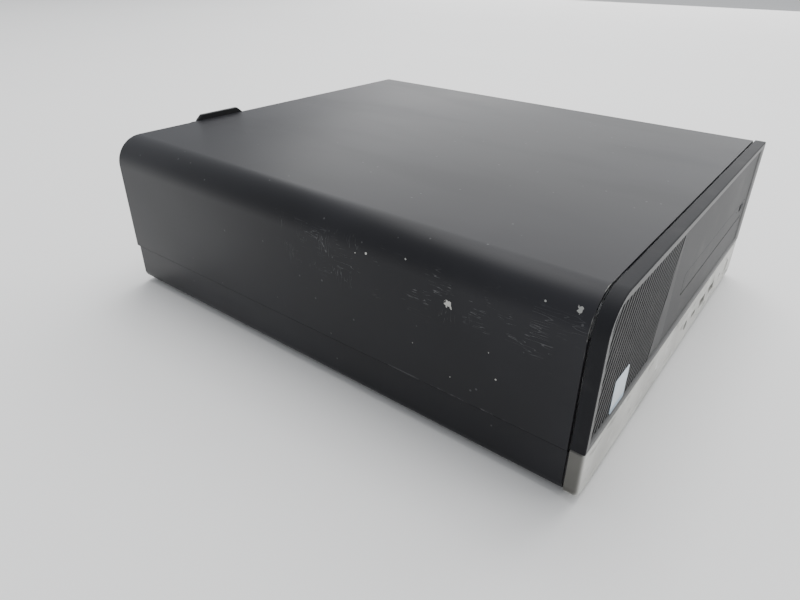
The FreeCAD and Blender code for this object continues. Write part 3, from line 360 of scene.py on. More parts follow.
def finished(mesh, smooth):
    # joins doubled points, turns the faces outwards and smooths all but the sharp edges
    work = bmesh.new()
    work.from_mesh(mesh)
    bmesh.ops.remove_doubles(work, verts=work.verts, dist=1e-6)
    bmesh.ops.recalc_face_normals(work, faces=work.faces)
    work.to_mesh(mesh)
    work.free()
    mesh.shade_smooth()
    mesh.set_sharp_from_angle(angle=math.radians(smooth))


def soften(obj, width):
    # a small two-step bevel on the edges that turn by more than 38 degrees
    bevel = obj.modifiers.new("edges", "BEVEL")
    bevel.width = width / 1000
    bevel.segments = 2
    bevel.limit_method = "ANGLE"
    bevel.angle_limit = math.radians(38)
    bevel.harden_normals = False


def piece(name, shape, material, body, stands=(), smooth=35, edge=0.0):
    # a finished visible part: it rides a body, has its material slot, and stands for the CAD nodes that are named
    points, faces = shape
    mesh = bpy.data.meshes.new(name)
    mesh.from_pydata((points / 1000 + home).tolist(), [], faces)
    finished(mesh, smooth)
    obj = bpy.data.objects.new(name, mesh)
    bpy.context.collection.objects.link(obj)
    mesh.materials.append(material)
    if edge:
        soften(obj, edge)
    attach(obj, body)
    if stands:
        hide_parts(*stands)
    return obj


def dress(node, material, edge, smooth=35):
    # a copy of a CAD piece with joined faces and softened edges, standing for it
    mesh = frame["nodes"][node].data.copy()
    work = bmesh.new()
    work.from_mesh(mesh)
    bmesh.ops.remove_doubles(work, verts=work.verts, dist=1e-6)
    bmesh.ops.dissolve_limit(work, angle_limit=math.radians(0.6), verts=work.verts, edges=work.edges)
    work.to_mesh(mesh)
    work.free()
    mesh.shade_smooth()
    mesh.set_sharp_from_angle(angle=math.radians(smooth))
    mesh.materials.clear()
    mesh.materials.append(material)
    obj = bpy.data.objects.new(node + "_finished", mesh)
    bpy.context.collection.objects.link(obj)
    if edge:
        soften(obj, edge)
    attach(obj, bodyOf[node])
    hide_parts(node)
    return obj


# camera, floor and light
camera = {"place": (-0.3213, -0.2169, 0.2067), "lens": 27.3, "shift": (-0.0276, -0.0193),
          "right": (0.5954, -0.8032, 0.0213), "up": (0.3790, 0.3041, 0.8740), "back": (-0.7084, -0.5123, 0.4854)}
lens = bpy.data.cameras.new("view")
lens.lens = camera["lens"]
lens.sensor_width = 36
lens.shift_x, lens.shift_y = camera["shift"]
lens.clip_start = 0.01
eye = bpy.data.objects.new("view", lens)
turned = Matrix((camera["right"], camera["up"], camera["back"])).transposed().to_4x4()
eye.matrix_world = Matrix.Translation(camera["place"]) @ turned
bpy.context.collection.objects.link(eye)
bpy.context.scene.camera = eye

light = {"sky": 0.68, "sheen": 82.0, "sheenPlace": (2.05, 0.5, 1.3), "sheenSize": 4.0,
         "top": 26.0, "topPlace": (0.25, 0.1, 1.9), "topSize": 1.4,
         "fill": 9.0, "fillPlace": (0.9, -2.2, 0.8), "fillSize": 1.2, "floor": 6}
world = bpy.data.worlds.new("room")
world.use_nodes = True
world.node_tree.nodes["Background"].inputs[0].default_value = (0.93, 0.96, 1.0, 1)
world.node_tree.nodes["Background"].inputs[1].default_value = light["sky"]
bpy.context.scene.world = world


def lamp(name, place, power, size):
    made = bpy.data.lights.new(name, "AREA")
    made.energy = power
    made.shape = "DISK"
    made.size = size
    obj = bpy.data.objects.new(name, made)
    aim = -np.array(place) / np.linalg.norm(place)
    obj.location = place
    obj.rotation_mode = "QUATERNION"
    obj.rotation_quaternion = Vector((0, 0, -1)).rotation_difference(aim.tolist())
    bpy.context.collection.objects.link(obj)


for source in ("sheen", "top", "fill"):
    lamp(source, light[source + "Place"], light[source], light[source + "Size"])

floorShade = Shade("pale floor")
speck = floorShade.noise(3, 3)
floorMaterial = floorShade.done(floorShade.mix((0.90, 0.895, 0.885), (0.87, 0.865, 0.855), speck), 0.75)
floorMesh = bpy.data.meshes.new("floor")
reach = light["floor"]
corners = [(-reach, -reach, 0), (reach, -reach, 0), (reach, reach, 0), (-reach, reach, 0)]
floorMesh.from_pydata(corners, [], [(0, 1, 2, 3)])
floorMesh.materials.append(floorMaterial)
floor = bpy.data.objects.new("floor", floorMesh)
bpy.context.collection.objects.link(floor)
print("stage ready")

# sizes of the folded sheets, which the paint's wear also follows
coverLow, coverHigh = span("top_cover")
panLow, panHigh = span("base_pan")
shell = {"corner": 17, "far": 2, "low": 6, "sheet": 1, "lip": 12, "seam": 24.2, "jog": 1.6, "leftDrop": 16}

# finishes
paint = {"dark": (0.0095, 0.0096, 0.0118), "dusty": (0.027, 0.0272, 0.033), "scratch": (0.15, 0.15, 0.155),
         "bare": (0.40, 0.40, 0.38), "rough": 0.40, "shine": 0.24,
         "side": (0.0012, 0.004), "band": (0.056, 0.076, 0.080, 0.090), "along": (0.12, 0.20),
         "rubbed": (0.02, 0.05, 0.08, 0.13), "seam": (0.0004, 0.0011), "wornAcross": (0.014, 0.03),
         "wornUp": (0.068, 0.084), "edge": (0.00005, 0.0003),
         "chips": [(69, 72.5, 2.1), (13.5, 89.5, 1.5), (122, 80.5, 0.45), (115.5, 82, 0.55), (93.2, 85.8, 0.55),
                   (27, 88.5, 0.4), (88, 44.5, 0.3), (66.5, 35, 0.32), (48, 56.5, 0.3), (43.5, 44.5, 0.36)]}


def bendIn(z):
    # how far the cover's bend has come in from the left at a height: radius less the chord's other leg
    over = max(z - coverHigh[2] + shell["corner"], 0)
    return shell["corner"] - math.sqrt(shell["corner"] ** 2 - over ** 2)


def paintedSteel(name, frontEdge=None, chips=()):
    # satin paint: slow dusty clouds, a fine orange peel, faint wiped smears and settled specks
    # with chips also hairline scratches on the left side and a rubbed seam; with a front edge, a worn front corner
    shade = Shade(name)

    def fade(given, start, marks):
        # 1 up to the first of the paint's two marks past a start, 0 from the second on
        near, far = paint[marks]
        return 1 - shade.ease(given, start + near, start + far)

    cloud = shade.noise(9, 4)
    smear = shade.noise(1, 3, shade.placed((34, 9, 10), (0, 0, 0.7)))
    colour = shade.mix(paint["dark"], paint["dusty"], shade.ease(cloud, 0.35, 0.75) * 0.45)
    dustSpot = 1 - shade.ease(shade.cells(95.0, shade.placed(turn=(0.3, 0.2, 0.4))), 0.03, 0.07)
    colour = shade.mix(colour, paint["scratch"], dustSpot * 0.35)
    rough = paint["rough"] + 0.08 * cloud + 0.02 * shade.ease(smear, 0.45, 0.70)
    height = shade.noise(1400, 2) * 0.25
    bare = None
    if chips:
        onSide = fade(shade.x, left, "side") * fade(shade.y, front, "along")
        onSide = onSide * shade.between(shade.z, under, paint["band"])
        worn = shade.hairline((6, 70, 700), (0.10, 0, 0), (3, 1, 2), 0.020, 0.54)
        worn = worn.most(shade.hairline((6, 480, 90), (0.5, 0, 0), (7, 4, 1), 0.018, 0.53))
        worn = worn.most(shade.hairline((40, 60, 600), (-0.55, 0, 0), (1, 9, 5), 0.018, 0.55)) * onSide
        seam = under + float(coverLow[2]) / 1000
        rub = fade(abs(shade.z - seam), 0.0, "seam") * shade.ease(shade.noise(130, 4), 0.46, 0.58)
        rub = rub * shade.between(shade.y, front, paint["rubbed"])
        worn = worn.most(rub * 0.45)
        colour = shade.mix(colour, paint["scratch"], worn * 0.65)
        height = height - worn * 0.35
    for y, z, size in chips:
        spot = (home + np.array([bendIn(z), y, z]) / 1000).tolist()
        ragged = shade.away(spot) + (shade.noise(700, 3) - 0.5) * (size * 0.0030)
        mark = 1 - shade.ease(ragged, size * 0.00070, size * 0.00085)
        bare = mark if bare is None else bare.most(mark)
    if frontEdge is not None:
        jagged = shade.y + (shade.noise(260, 3) - 0.5) * 0.0012
        up = shade.ease(shade.z, under + paint["wornUp"][0], under + paint["wornUp"][1])
        corner = fade(shade.x, left, "wornAcross") * up
        edge = fade(jagged, frontEdge, "edge") * shade.ease(shade.noise(60, 3), 0.40, 0.50) * corner * 0.55
        bare = edge if bare is None else bare.most(edge)
    metal = 0.0
    if bare is not None:
        colour = shade.mix(colour, paint["bare"], bare)
        metal = bare * 0.85
        height = height - bare * 1.2
        rough = rough - bare * 0.12
    return shade.done(colour, rough, metal, height, 0.35, 0.00012, Specular_IOR_Level=paint["shine"])


def moulded(name, dark, light, rough, grain=1100, depth=0.25, dust=0.0, coat=0.0, shine=0.5):
    # plastic: fine spark-eroded grain, slow change of tone, a little dust
    shade = Shade(name)
    tone = shade.noise(14, 4)
    fine = shade.noise(grain, 2)
    colour = shade.mix(dark, light, shade.ease(tone, 0.3, 0.75))
    if dust:
        settled = shade.ease(shade.noise(70, 5), 0.5, 0.8) * dust
        colour = shade.mix(colour, (0.32, 0.31, 0.29), settled)
    return shade.done(colour, rough + 0.12 * tone, 0.0, fine, depth, 0.00015, Coat_Weight=coat,
                      Specular_IOR_Level=shine)


def zinc(name):
    # zinc-coated sheet: large crystals with their own tone, brushed faintly
    shade = Shade(name)
    grey = shade.node("ShaderNodeSeparateColor", inputs={0: shade.cells(160.0, out=1)})
    fine = shade.noise(900, 2)
    colour = shade.mix((0.42, 0.43, 0.44), (0.60, 0.61, 0.62), grey)
    return shade.done(colour, 0.34 + 0.14 * grey, 0.92, fine, 0.12, 0.0001)


def metalled(name, dark, light, rough, stretch=(1, 1, 1), scale=500):
    # turned, cast or extruded metal, with its grain stretched along the working direction
    shade = Shade(name)
    grain = shade.noise(scale, 3, shade.placed(stretch))
    slow = shade.noise(20, 3)
    colour = shade.mix(dark, light, slow)
    return shade.done(colour, rough + 0.12 * grain, 1.0, grain, 0.18, 0.0001)


def circuit(name, dark, light):
    # solder mask over tracks: thin straight lines in two directions, and small plated dots
    shade = Shade(name)
    patch = shade.ease(shade.noise(40, 1), 0.46, 0.54)
    first = 1 - shade.ease(abs(shade.saw(shade.x, 0.0016) - 0.5), 0.10, 0.16)
    second = 1 - shade.ease(abs(shade.saw(shade.y, 0.0016) - 0.5), 0.10, 0.16)
    tracks = first * patch + second * (1 - patch)
    dots = 1 - shade.ease(shade.cells(210.0), 0.10, 0.14)
    colour = shade.mix(dark, light, tracks)
    colour = shade.mix(colour, (0.55, 0.50, 0.38), dots * 0.8)
    return shade.done(colour, 0.38 + 0.1 * tracks, dots * 0.6, tracks + dots, 0.25, 0.0001, Coat_Weight=0.3)


def chinFinish(name):
    # warm grey metallic paint over plastic, rubbed lighter in patches, with grime and small dents; its left side face
    # is painted much darker, a painted shade for that face turned away from the light
    shade = Shade(name)
    tone = shade.noise(26, 5)
    blotch = shade.noise(120, 4)
    flake = shade.noise(2600, 1)
    colour = shade.mix((0.50, 0.495, 0.465), (0.66, 0.655, 0.62), shade.ease(tone, 0.3, 0.7))
    colour = shade.mix(colour, (0.76, 0.755, 0.73), shade.ease(blotch, 0.56, 0.68) * 0.5)
    grime = shade.ease(shade.noise(60, 4, shade.placed((1, 1, 3))), 0.58, 0.72)
    colour = shade.mix(colour, (0.12, 0.118, 0.10), grime * 0.40)
    # painted shade: the chin's left side face is darkened in its colour, standing in for the shade that falls on that
    # face
    side = 1 - shade.ease(shade.x, left - 0.0003, left + 0.0016)
    colour = shade.mix(colour, (0.075, 0.072, 0.063), side * 0.92)
    spot = (home + np.array([96.5, 0, 14.5]) / 1000).tolist()
    ragged = shade.away(spot) + (shade.noise(500, 2) - 0.5) * 0.0016
    chip = 1 - shade.ease(ragged, 0.0012, 0.0016)
    colour = shade.mix(colour, (0.80, 0.80, 0.78), chip)
    return shade.done(colour, 0.36 + 0.2 * tone + 0.12 * grime, 0.35, flake * 0.4 + blotch - chip, 0.35, 0.00015)


coverEdge = float(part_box("top_cover")[0][1])
coverFinish = paintedSteel("cover paint", coverEdge, paint["chips"])
panFinish = paintedSteel("pan paint", None, [(60, 22, 0.7), (130, 23, 0.6)])
bezelFinish = moulded("bezel plastic", (0.010, 0.010, 0.011), (0.018, 0.018, 0.019), 0.42, dust=0.06, shine=0.24)
rimFinish = moulded("rim plastic", (0.009, 0.009, 0.011), (0.015, 0.0155, 0.018), 0.50, dust=0.03, shine=0.14)
# the rim's front-facing strip is a lighter grey than the rest of the bezel: a painted highlight for the light that
# strip catches from the front, with a little dust
lipPaintedHighlight = moulded("lip painted highlight", (0.075, 0.075, 0.074), (0.115, 0.115, 0.112), 0.42, dust=0.10)
grilleFinish = moulded("grille plastic", (0.020, 0.020, 0.021), (0.034, 0.034, 0.035), 0.42, dust=0.08, shine=0.30)
glossBlack = moulded("gloss plastic", (0.008, 0.008, 0.009), (0.014, 0.014, 0.016), 0.18, 400, 0.08, coat=0.3)
chinMaterial = chinFinish("chin finish")
rubberFinish = moulded("foot rubber", (0.018, 0.018, 0.018), (0.035, 0.034, 0.033), 0.78, 700, 0.4, dust=0.25)
zincFinish = zinc("zinc sheet")
platedFinish = metalled("plated shell", (0.55, 0.55, 0.54), (0.72, 0.71, 0.69), 0.20)
socketFinish = moulded("socket plastic", (0.015, 0.015, 0.016), (0.03, 0.03, 0.032), 0.5, 800)
boardFinish = circuit("board mask", (0.010, 0.055, 0.028), (0.018, 0.095, 0.045))
finFinish = metalled("fin aluminium", (0.62, 0.63, 0.64), (0.76, 0.77, 0.78), 0.30, (1, 0.1, 6), 700)
castFinish = metalled("cast aluminium", (0.36, 0.37, 0.38), (0.50, 0.51, 0.52), 0.42, (1, 1, 1), 900)
nickelFinish = metalled("nickel", (0.60, 0.58, 0.54), (0.74, 0.72, 0.68), 0.24)
lensShade = Shade("light pipe")
lensTone = lensShade.mix((0.75, 0.82, 0.85), (0.65, 0.72, 0.76), lensShade.noise(300, 2))
lensFinish = lensShade.done(lensTone, 0.2 + 0.1 * lensShade.noise(200, 2))
print("finishes ready")

# cover and pan


def coverPieces():
    # the folded sheet is one bent band drawn from front to back; a lip closes its rear under the bend
    x0, x1, top, low = coverLow[0], coverHigh[0], coverHigh[2], coverLow[2]
    t, r, far = shell["sheet"], shell["corner"], shell["far"]
    bend = [(x0, low), (x0, top, r), (x1, top, far), (x1, low)]
    inner = [(x1 - t, low), (x1 - t, top - t, far - t), (x0 + t, top - t, r - t), (x0 + t, low)]
    near, back = coverLow[1], coverHigh[1]
    levels = [(0.3, near), (0.09, near + 0.09), (0, near + 0.3), (0, back - 0.3), (0.09, back - 0.09), (0.3, back)]
    skin = stack(rounded(bend + inner, 24), levels)
    piece("cover_shell", skin, coverFinish, "cover", ["top_cover"], 40)
    rise = r - shell["lip"]
    turn = np.linspace(math.pi - math.asin(rise / r), math.pi / 2, 20)
    arc = np.column_stack([x0 + r + r * np.cos(turn), top - r + r * np.sin(turn)])
    corner = [(x1 - 1.2, top - 0.2), (x1 - 0.2, top - 1.2), (x1 - 0.05, top - shell["lip"])]
    lip = shrink(np.concatenate([[(x0 + bendIn(top - shell["lip"]), top - shell["lip"])], arc[1:], corner]), 0.25)
    levels = [(0, back - t), (0, back - 0.2), (0.2, back - 0.01)]
    piece("cover_rear_lip", stack(lip, levels), coverFinish, "cover")


def panPiece():
    # a folded tray: a skirt up to the seam, then walls that step in under the cover
    x0, x1, low = panLow[0], panHigh[0], panLow[2]
    t, seam, r = shell["sheet"], shell["seam"], shell["low"]
    jog = shell["jog"]
    width = x1 + x0
    top, leftTop = panHigh[2], panHigh[2] - shell["leftDrop"]
    band = [
        (x0, seam), (x0, low, r), (x1, low, r), (x1, seam), (width - jog, seam), (width - jog, top),
        (width - jog - t, top), (width - jog - t, seam - t), (x1 - t, seam - t), (x1 - t, low + t, r - t),
        (x0 + t, low + t, r - t), (x0 + t, seam - t), (jog + t, seam - t), (jog + t, leftTop),
        (jog, leftTop), (jog, seam)]
    near, back = panLow[1], panHigh[1]
    skin = stack(rounded(band, 10), [(0.2, near), (0, near + 0.25), (0, back - 0.25), (0.2, back)])
    piece("pan_shell", skin, panFinish, "chassis", ["base_pan"], 40)


coverPieces()
panPiece()
print("sheet metal ready")

# bezel, grille and chin
bezelLow, bezelHigh = span("front_bezel")
chinLow, chinHigh = span("bezel_chin")
grilleLow, grilleHigh = span("bezel_grille")
trayLow, trayHigh = span("optical_tray_front")
bezel = {"radii": (0.8, 0.8, 2.0, 17.4), "rim": 4.1, "step": 0.8, "wall": 2.2, "inner": 8.0, "stretch": 2.0,
         "lap": 0.6, "side": 0.4, "above": 0.15, "below": 0.7, "gap": 0.05}
grille = {"pitch": 3.9, "bar": 1.9, "lean": 0.45, "side": 0.30, "foot": 73.8, "footAt": 30, "margin": 0.7,
          "rung": 0.4, "rungDeep": 0.9, "rungPitch": 2.4, "overlap": 0.3}
badge = {"outline": (25, 30.6, 41.5, 48.6), "radii": (1.2,) * 4, "bandLow": 32.5, "bandHigh": 34.5}
chin = {"radii": (6, 6, 1.0, 1.0), "round": 2.4, "face": 4.0, "wall": 2.2, "deep": 3.0, "port": 13.5, "gap": 0.25,
        "jack": 3.15, "typeC": 1.95, "usbWide": 13.2, "button": 5.8, "light": 1.55}


def bezelPieces():
    x0, z0, x1, z1 = bezelLow[0], bezelLow[2], bezelHigh[0], bezelHigh[2]
    outer = bezel["radii"][3]

    def ring(inset):
        # the outline drawn in; its large corner tightens towards the inner edge of the rim, and on the right the
        # rim's inner slope is stretched
        share = min(inset / bezel["rim"], 1.0)
        corner = outer + (bezel["inner"] + bezel["rim"] - outer) * share
        right = x1 - max(inset - 0.7, 0) * bezel["stretch"]
        return roundRect(x0, z0, right, z1, (*bezel["radii"][:3], corner), inset, 20)

    depth, back = bezelHigh[1], bezel["step"] + bezel["wall"]
    rim = [(0, depth), (0, 0.75), (0.07, 0.36), (0.26, 0.1), (0.6, 0.0), (0.7, 0.3), (0.7, back),
           (bezel["wall"], back), (bezel["wall"], depth)]
    piece("bezel_rim", stack(ring, rim, loop=True), rimFinish, "chassis", ["front_bezel"], 50)
    # the rim's front strip takes the lighter plastic, whose colour is a painted highlight
    lip = [(bezel["lap"], 0.3), (bezel["lap"], 0.0), (3.3, 0.0), (3.6, 0.1), (4.05, 0.62),
           (bezel["rim"], bezel["step"]), (bezel["rim"], back), (0.8, back)]
    piece("bezel_lip", stack(ring, lip, loop=True), lipPaintedHighlight, "chassis", (), 50)
    door = roundRect(trayLow[0] - bezel["side"], trayLow[2] - bezel["below"], trayHigh[0] + bezel["side"],
                     trayHigh[2] + bezel["above"], (0.8,) * 4, 0, 4)
    gap = bezel["gap"]
    window = roundRect(grilleLow[0] - gap, grilleLow[2] - gap, grilleHigh[0] + gap, grilleHigh[2] + gap,
                       (0.5, 0.5, 0.5, bezel["inner"]), 0, 16)
    field = pierced(ring(bezel["rim"] - 0.01), [door, window], bezel["step"], back)
    piece("bezel_field", field, bezelFinish, "chassis", (), 30, 0.25)


def grillePiece():
    # a plate with one window whose right edge leans; the bars lean the same way, x = start + lean times height
    outline = roundRect(grilleLow[0], grilleLow[2], grilleHigh[0], grilleHigh[2],
                        (0.5, 0.5, 0.5, bezel["inner"] - bezel["gap"]), 0, 16)
    edge, lean, half, overlap = grille["margin"], grille["lean"], grille["bar"] / 2, grille["overlap"]
    x0, low, high = grilleLow[0] + edge, grilleLow[2] + edge, grilleHigh[2] - edge
    corner = bezel["inner"] - edge
    right = lambda z: grille["foot"] + grille["side"] * (z - grille["footAt"])
    window = rounded([(x0, low, 0.3), (right(low), low, 0.3), (right(high), high, 0.3), (x0, high, corner)], 12)
    plate = pierced(outline, [window], grilleLow[1], grilleHigh[1])
    # the window's left edge at each height: straight, then its round corner
    height = np.linspace(low, high, 400)
    drop = np.maximum(height - high + corner, 0)
    reach = x0 + corner - np.sqrt(np.maximum(corner ** 2 - drop ** 2, 0))
    # a bar runs between the first and the last height where it is inside the window
    start = np.arange(right(low) - 0.2, x0 - lean * (high - low), -grille["pitch"])
    across = start[:, None] + lean * (height - low)[None]
    inside = (across > reach[None] - half) & (across < right(height)[None] + half)
    keep = inside.sum(1) > 8
    start, inside = start[keep], inside[keep]
    last = len(height) - 1 - inside[:, ::-1].argmax(1)
    ends = np.stack([height[inside.argmax(1)] - overlap, height[last] + overlap], 1)
    middle = start[:, None] + lean * (ends - low)
    near, far = grilleLow[1] + 0.1, grilleHigh[1] - 0.1
    points = [np.stack([middle[:, e] + side * half, np.full(len(start), y), ends[:, e]], -1)
              for e in (0, 1) for side, y in ((-1, near), (1, near), (1, far), (-1, far))]
    faces = np.array(prism)[None] + 8 * np.arange(len(start))[:, None, None]
    bars = (np.stack(points, 1).reshape(-1, 3), faces.reshape(-1, 4).tolist())
    level = np.arange(low + grille["rungPitch"], high - 0.5, grille["rungPitch"])
    begin = np.interp(level, height, reach) - overlap
    to = right(level) + overlap
    deep, thin = np.full(len(level), grille["rungDeep"]), np.full(len(level), grille["rung"])
    rungs = blocks(np.stack([(begin + to) / 2, near + deep, level], -1), np.stack([to - begin, deep, thin], -1))
    piece("grille_plate", merged(plate, bars, rungs), grilleFinish, "chassis", ["bezel_grille"], 30)
    print("grille bars", len(start), "rungs", len(level))


def stickerPiece():
    # a plain pale label: a bluer band along its foot and a slightly uneven print
    shade = Shade("badge print")
    band = shade.ease(shade.z, under + badge["bandLow"] / 1000, under + badge["bandHigh"] / 1000)
    tone = shade.noise(180, 3)
    pale = shade.mix((0.42, 0.55, 0.68), (0.70, 0.78, 0.84), band)
    colour = shade.mix(pale, (0.60, 0.68, 0.74), tone * 0.4)
    material = shade.done(colour, 0.28 + 0.1 * tone, 0.0, tone, 0.05, 0.0001)
    ring = roundRect(*badge["outline"], badge["radii"])
    y = grilleLow[1]
    piece("badge", stack(ring, [(0, y + 0.02), (0, y - 0.14), (0.12, y - 0.22)]), material, "chassis")


def chinPieces():
    x0, z0, x1, z1 = chinLow[0], chinLow[2], chinHigh[0], chinHigh[2]
    # the outline drawn in, least along its top edge
    ring = lambda inset: roundRect(x0, z0, x1, z1 + inset * 0.8, chin["radii"], inset, 14)
    r, depth, face, deep, gap = chin["round"], chinHigh[1], chin["face"], chin["deep"], chin["gap"]
    sweep = np.linspace(0, math.pi / 2, 7)
    rounding = [(r * (1 - math.cos(a)), r * (1 - math.sin(a))) for a in sweep]
    rim = [(0, depth)] + rounding + [(face, 0.0), (face, deep), (chin["wall"], deep), (chin["wall"], depth)]
    piece("chin_rim", stack(ring, rim, loop=True), chinMaterial, "chassis", ["bezel_chin"], 50)
    port, tall, wide = chin["port"], chin["typeC"], chin["usbWide"]
    jackLow, jackHigh = span("headset_jack")
    usbLow, usbHigh = span("front_usb_ports")
    cLow, cHigh = span("type_c_port")
    buttonLow, buttonHigh = span("power_button")
    lightLow, lightHigh = span("activity_light")
    holes = [circle((jackLow[0] + jackHigh[0]) / 2, port, chin["jack"], 32),
             roundRect(cLow[0] - gap, port - tall, cHigh[0] + gap, port + tall, (1.9,) * 4, 0, 6)]
    for x in (usbLow[0], usbHigh[0] - wide):
        holes.append(roundRect(x - gap, usbLow[2] - gap, x + wide + gap, usbHigh[2] + gap, (0.6,) * 4, 0, 4))
    holes.append(circle((buttonLow[0] + buttonHigh[0]) / 2, port, chin["button"], 56))
    holes.append(circle((lightLow[0] + lightHigh[0]) / 2, port, chin["light"], 24))
    plate = pierced(ring(face - 0.01), holes, 0.0, deep)
    piece("chin_face", plate, chinMaterial, "chassis", (), 30)
    # the power button is a shallow dish, the light a small dome
    x = (buttonLow[0] + buttonHigh[0]) / 2
    y = buttonLow[1]
    dish = [(5.5, buttonHigh[1]), (5.5, y + 0.7), (5.35, y + 0.25), (4.95, y), (4.3, y + 0.02), (3.6, y + 0.3),
            (1.8, y + 0.5), (0.02, y + 0.55)]
    piece("power_cap", lathe(dish, (x, 0, port), "y", 56), chinMaterial, "button", ["power_button"], 40)
    x = (lightLow[0] + lightHigh[0]) / 2
    dome = [(1.3, lightHigh[1]), (1.3, 0.55), (1.1, 0.3), (0.6, 0.2), (0.02, 0.2)]
    piece("light_pipe", lathe(dome, (x, 0, port), "y", 24), lensFinish, "chassis", ["activity_light"], 40)


def trayFrontPieces():
    ejectLow, ejectHigh = span("eject_button")
    gap = 0.5
    outline = roundRect(trayLow[0], trayLow[2], trayHigh[0], trayHigh[2], (0.7, 1.6, 0.7, 0.7), 0, 6)
    hole = roundRect(ejectLow[0] - gap, ejectLow[2] - gap, ejectHigh[0] + gap, ejectHigh[2] + gap, (0.8,) * 4, 0, 5)
    pin = circle(ejectLow[0] - 9, (ejectLow[2] + ejectHigh[2]) / 2, 0.6, 16)
    piece("tray_front", pierced(outline, [hole, pin], trayLow[1], trayHigh[1]), bezelFinish, "tray",
          ["optical_tray_front"], 30, 0.45)
    y = ejectLow[1]
    ring = roundRect(ejectLow[0], ejectLow[2], ejectHigh[0], ejectHigh[2], (0.7,) * 4, 0, 5)
    key = stack(ring, [(0, ejectHigh[1]), (0, y + 0.5), (0.15, y + 0.15), (0.5, y)])
    piece("eject_key", key, rimFinish, "eject", ["eject_button"], 40)


bezelPieces()
grillePiece()
stickerPiece()
chinPieces()
trayFrontPieces()
print("front ready")

# latch, feet, rear
foot = {"radius": 9, "profile": [(9, 0), (9, -1.2), (8.6, -1.75), (7.9, -2), (5.5, -2), (5.1, -1.6), (0.02, -1.6)]}
guard = {"rings": (5, 10.5, 16, 21.5, 26.5), "wire": 0.6, "off": 0.9, "from": 4, "to": 31,
         "spokes": (0.785, 2.356, 3.927, 5.498)}
screw = {"head": [(3.0, 0), (3.0, 0.5), (2.7, 1.1), (2.0, 1.5), (0.02, 1.65)],
         "places": ((192, 70), (262, 70), (192, 6), (112, 46), (6, 46), (262, 90), (8, 76))}


def latchPieces():
    dress("latch_grip", bezelFinish, 0.6)
    dress("latch_slider", glossBlack, 0.2)


def feetPieces():
    low, high = span("rubber_feet")
    r = foot["radius"]
    shapes = [lathe(foot["profile"], (x, y, 0), "z", 40)
              for x in (low[0] + r, high[0] - r) for y in (low[1] + r, high[1] - r)]
    piece("feet_finished", merged(*shapes), rubberFinish, "chassis", ["rubber_feet"], 40)


def fanGuard():
    # rings and four spokes of steel wire over the supply's fan
    low, high = span("supply_fan_rotor")
    x, z, y = (low[0] + high[0]) / 2, (low[2] + high[2]) / 2, span("rear_panel")[1][1] + guard["off"]
    thick = guard["wire"]
    turn = np.linspace(0, 2 * math.pi, 64, endpoint=False)
    shapes = []
    for radius in guard["rings"]:
        path = np.column_stack([x + radius * np.cos(turn), np.full(len(turn), y), z + radius * np.sin(turn)])
        shapes.append(wire(path, thick))
    for angle in guard["spokes"]:
        along = np.array([math.cos(angle), 0, math.sin(angle)])
        side = np.array([-along[2], 0, along[0]]) * thick
        ring = np.array([side, (0, thick, 0), -side, (0, -thick, 0)])
        points = np.concatenate([ring + along * guard["from"], ring + along * guard["to"]]) + np.array([x, y - 0.1, z])
        shapes.append((points, prism))
    piece("supply_fan_guard", merged(*shapes), platedFinish, "chassis", (), 60)


def screwPieces():
    # domed screw heads on the rear sheet
    back = span("rear_panel")[1][1]
    shapes = [lathe(screw["head"], (x, back, z), "y", 20) for x, z in screw["places"]]
    piece("rear_screws", merged(*shapes), nickelFinish, "chassis", (), 40)


latchPieces()
feetPieces()
fanGuard()
screwPieces()
print("latch, feet and rear details ready")


# fans
def rotorPiece(name, node, body, hub, count, pitch):
    # a blade is a thin oval carried outwards: its angle eases from steep at the hub to flat at the tip
    low, high = span(node)
    x, middle, z = (low + high) / 2
    deep = high[1] - low[1]
    tip = min(high[0] - low[0], high[2] - low[2]) / 2
    out = np.linspace(hub - 0.6, tip - 0.2, 9)
    turn = np.linspace(0, 2 * math.pi, 14, endpoint=False)
    share = (out - out[0]) / (out[-1] - out[0])
    lean = np.radians(pitch - 16 * share)
    chord = (deep - 1.6) / np.sin(lean) * (0.90 + 0.06 * share)
    across = np.cos(turn)[None, :] * chord[:, None] / 2
    thick = np.sin(turn)[None, :] * 0.7 + 1.1 * (1 - np.cos(turn)[None, :] ** 2)
    flat = across * np.cos(lean)[:, None] - thick * np.sin(lean)[:, None]
    limit = (deep - 0.8) / 2
    rise = np.clip(across * np.sin(lean)[:, None] + thick * np.cos(lean)[:, None] * 0.6, -limit, limit)
    shapes = []
    for k in range(count):
        angle = 2 * math.pi * k / count + 0.25 * share[:, None] + flat / out[:, None]
        points = np.stack([x + out[:, None] * np.cos(angle), middle + rise, z + out[:, None] * np.sin(angle)], -1)
        rows, cols = angle.shape
        i, j = np.meshgrid(np.arange(rows - 1), np.arange(cols), indexing="ij")
        n = (j + 1) % cols
        faces = np.stack([i * cols + j, i * cols + n, (i + 1) * cols + n, (i + 1) * cols + j], -1)
        faces = faces.reshape(-1, 4).tolist()
        faces += [list(range(cols)), list(range((rows - 1) * cols, rows * cols))]
        shapes.append((points.reshape(-1, 3), faces))
    cup = [(hub, deep), (hub, 1.6), (hub - 0.5, 0.5), (hub - 1.6, 0.0), (hub * 0.5, 0.0), (0.02, 0.0)]
    shapes.append(lathe(cup, (x, low[1], z), "y", 48))
    piece(name, merged(*shapes), glossBlack, body, [node], 50)


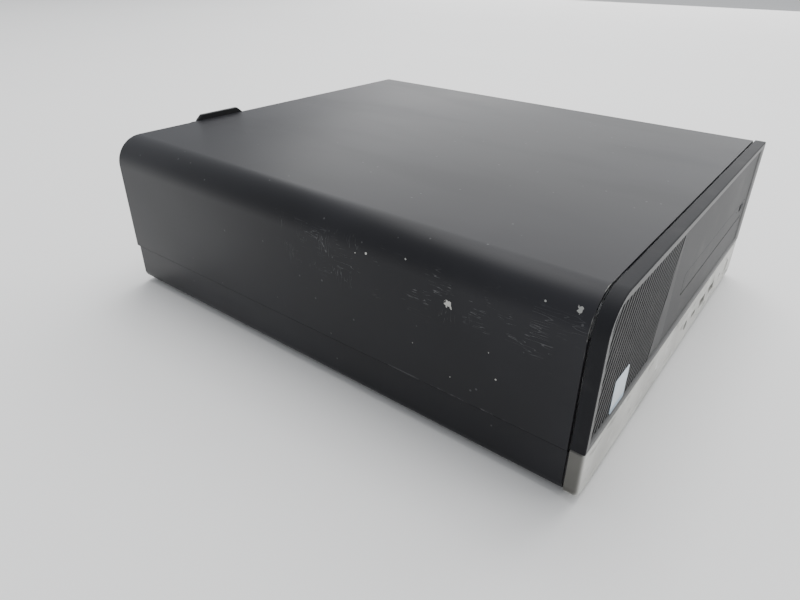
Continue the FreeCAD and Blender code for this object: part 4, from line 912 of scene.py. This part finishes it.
rotorPiece("fan_blades", "fan_rotor", "fan", 16, 7, 50)
rotorPiece("supply_fan_blades", "supply_fan_rotor", "supply_fan", 9, 7, 50)
print("fans ready")

# every other piece keeps its shape, with softened edges and its own finish
finishOf = {
    "padlock_loop": (zincFinish, 0.3), "front_plate": (zincFinish, 0.0), "rear_panel": (zincFinish, 0.15),
    "front_usb_ports": (platedFinish, 0.1), "type_c_port": (platedFinish, 0.3), "headset_jack": (socketFinish, 0.15),
    "front_port_board": (boardFinish, 0.1), "speaker": (socketFinish, 0.4), "optical_drive_case": (zincFinish, 0.2),
    "optical_tray": (bezelFinish, 0.3), "laser_pickup": (castFinish, 0.2), "disc_spindle": (glossBlack, 0.2),
    "hard_drive_body": (castFinish, 0.6), "hard_drive_lid": (finFinish, 0.3), "hard_drive_board": (boardFinish, 0.1),
    "drive_cage": (zincFinish, 0.2), "supply_case": (zincFinish, 0.15), "supply_circuit": (boardFinish, 0.2),
    "supply_fan_frame": (bezelFinish, 0.3), "mains_inlet": (glossBlack, 0.3), "motherboard": (boardFinish, 0.15),
    "board_standoffs": (nickelFinish, 0.2), "board_screws": (nickelFinish, 0.4),
    "processor_socket": (nickelFinish, 0.3), "processor": (nickelFinish, 0.2),
    "processor_heatsink": (finFinish, 0.1), "fan_frame": (bezelFinish, 0.4),
    "fan_duct": (glossBlack, 0.2), "memory_slots": (socketFinish, 0.2), "memory_modules": (boardFinish, 0.1),
    "card_slots": (socketFinish, 0.2), "slot_covers": (zincFinish, 0.15), "slot_clamp": (zincFinish, 0.3),
    "storage_card": (boardFinish, 0.1), "cell_holder": (socketFinish, 0.3), "coin_cell": (nickelFinish, 0.3),
    "chipset_heatsink": (finFinish, 0.2), "board_sockets": (socketFinish, 0.3), "capacitors": (finFinish, 0.4),
    "ethernet_port": (platedFinish, 0.2), "rear_usb_ports": (platedFinish, 0.2), "display_ports": (platedFinish, 0.2),
    "audio_jacks": (socketFinish, 0.3), "port_shield": (platedFinish, 0.05),
}
for node, (material, edge) in finishOf.items():
    dress(node, material, edge)
print("inner pieces ready")
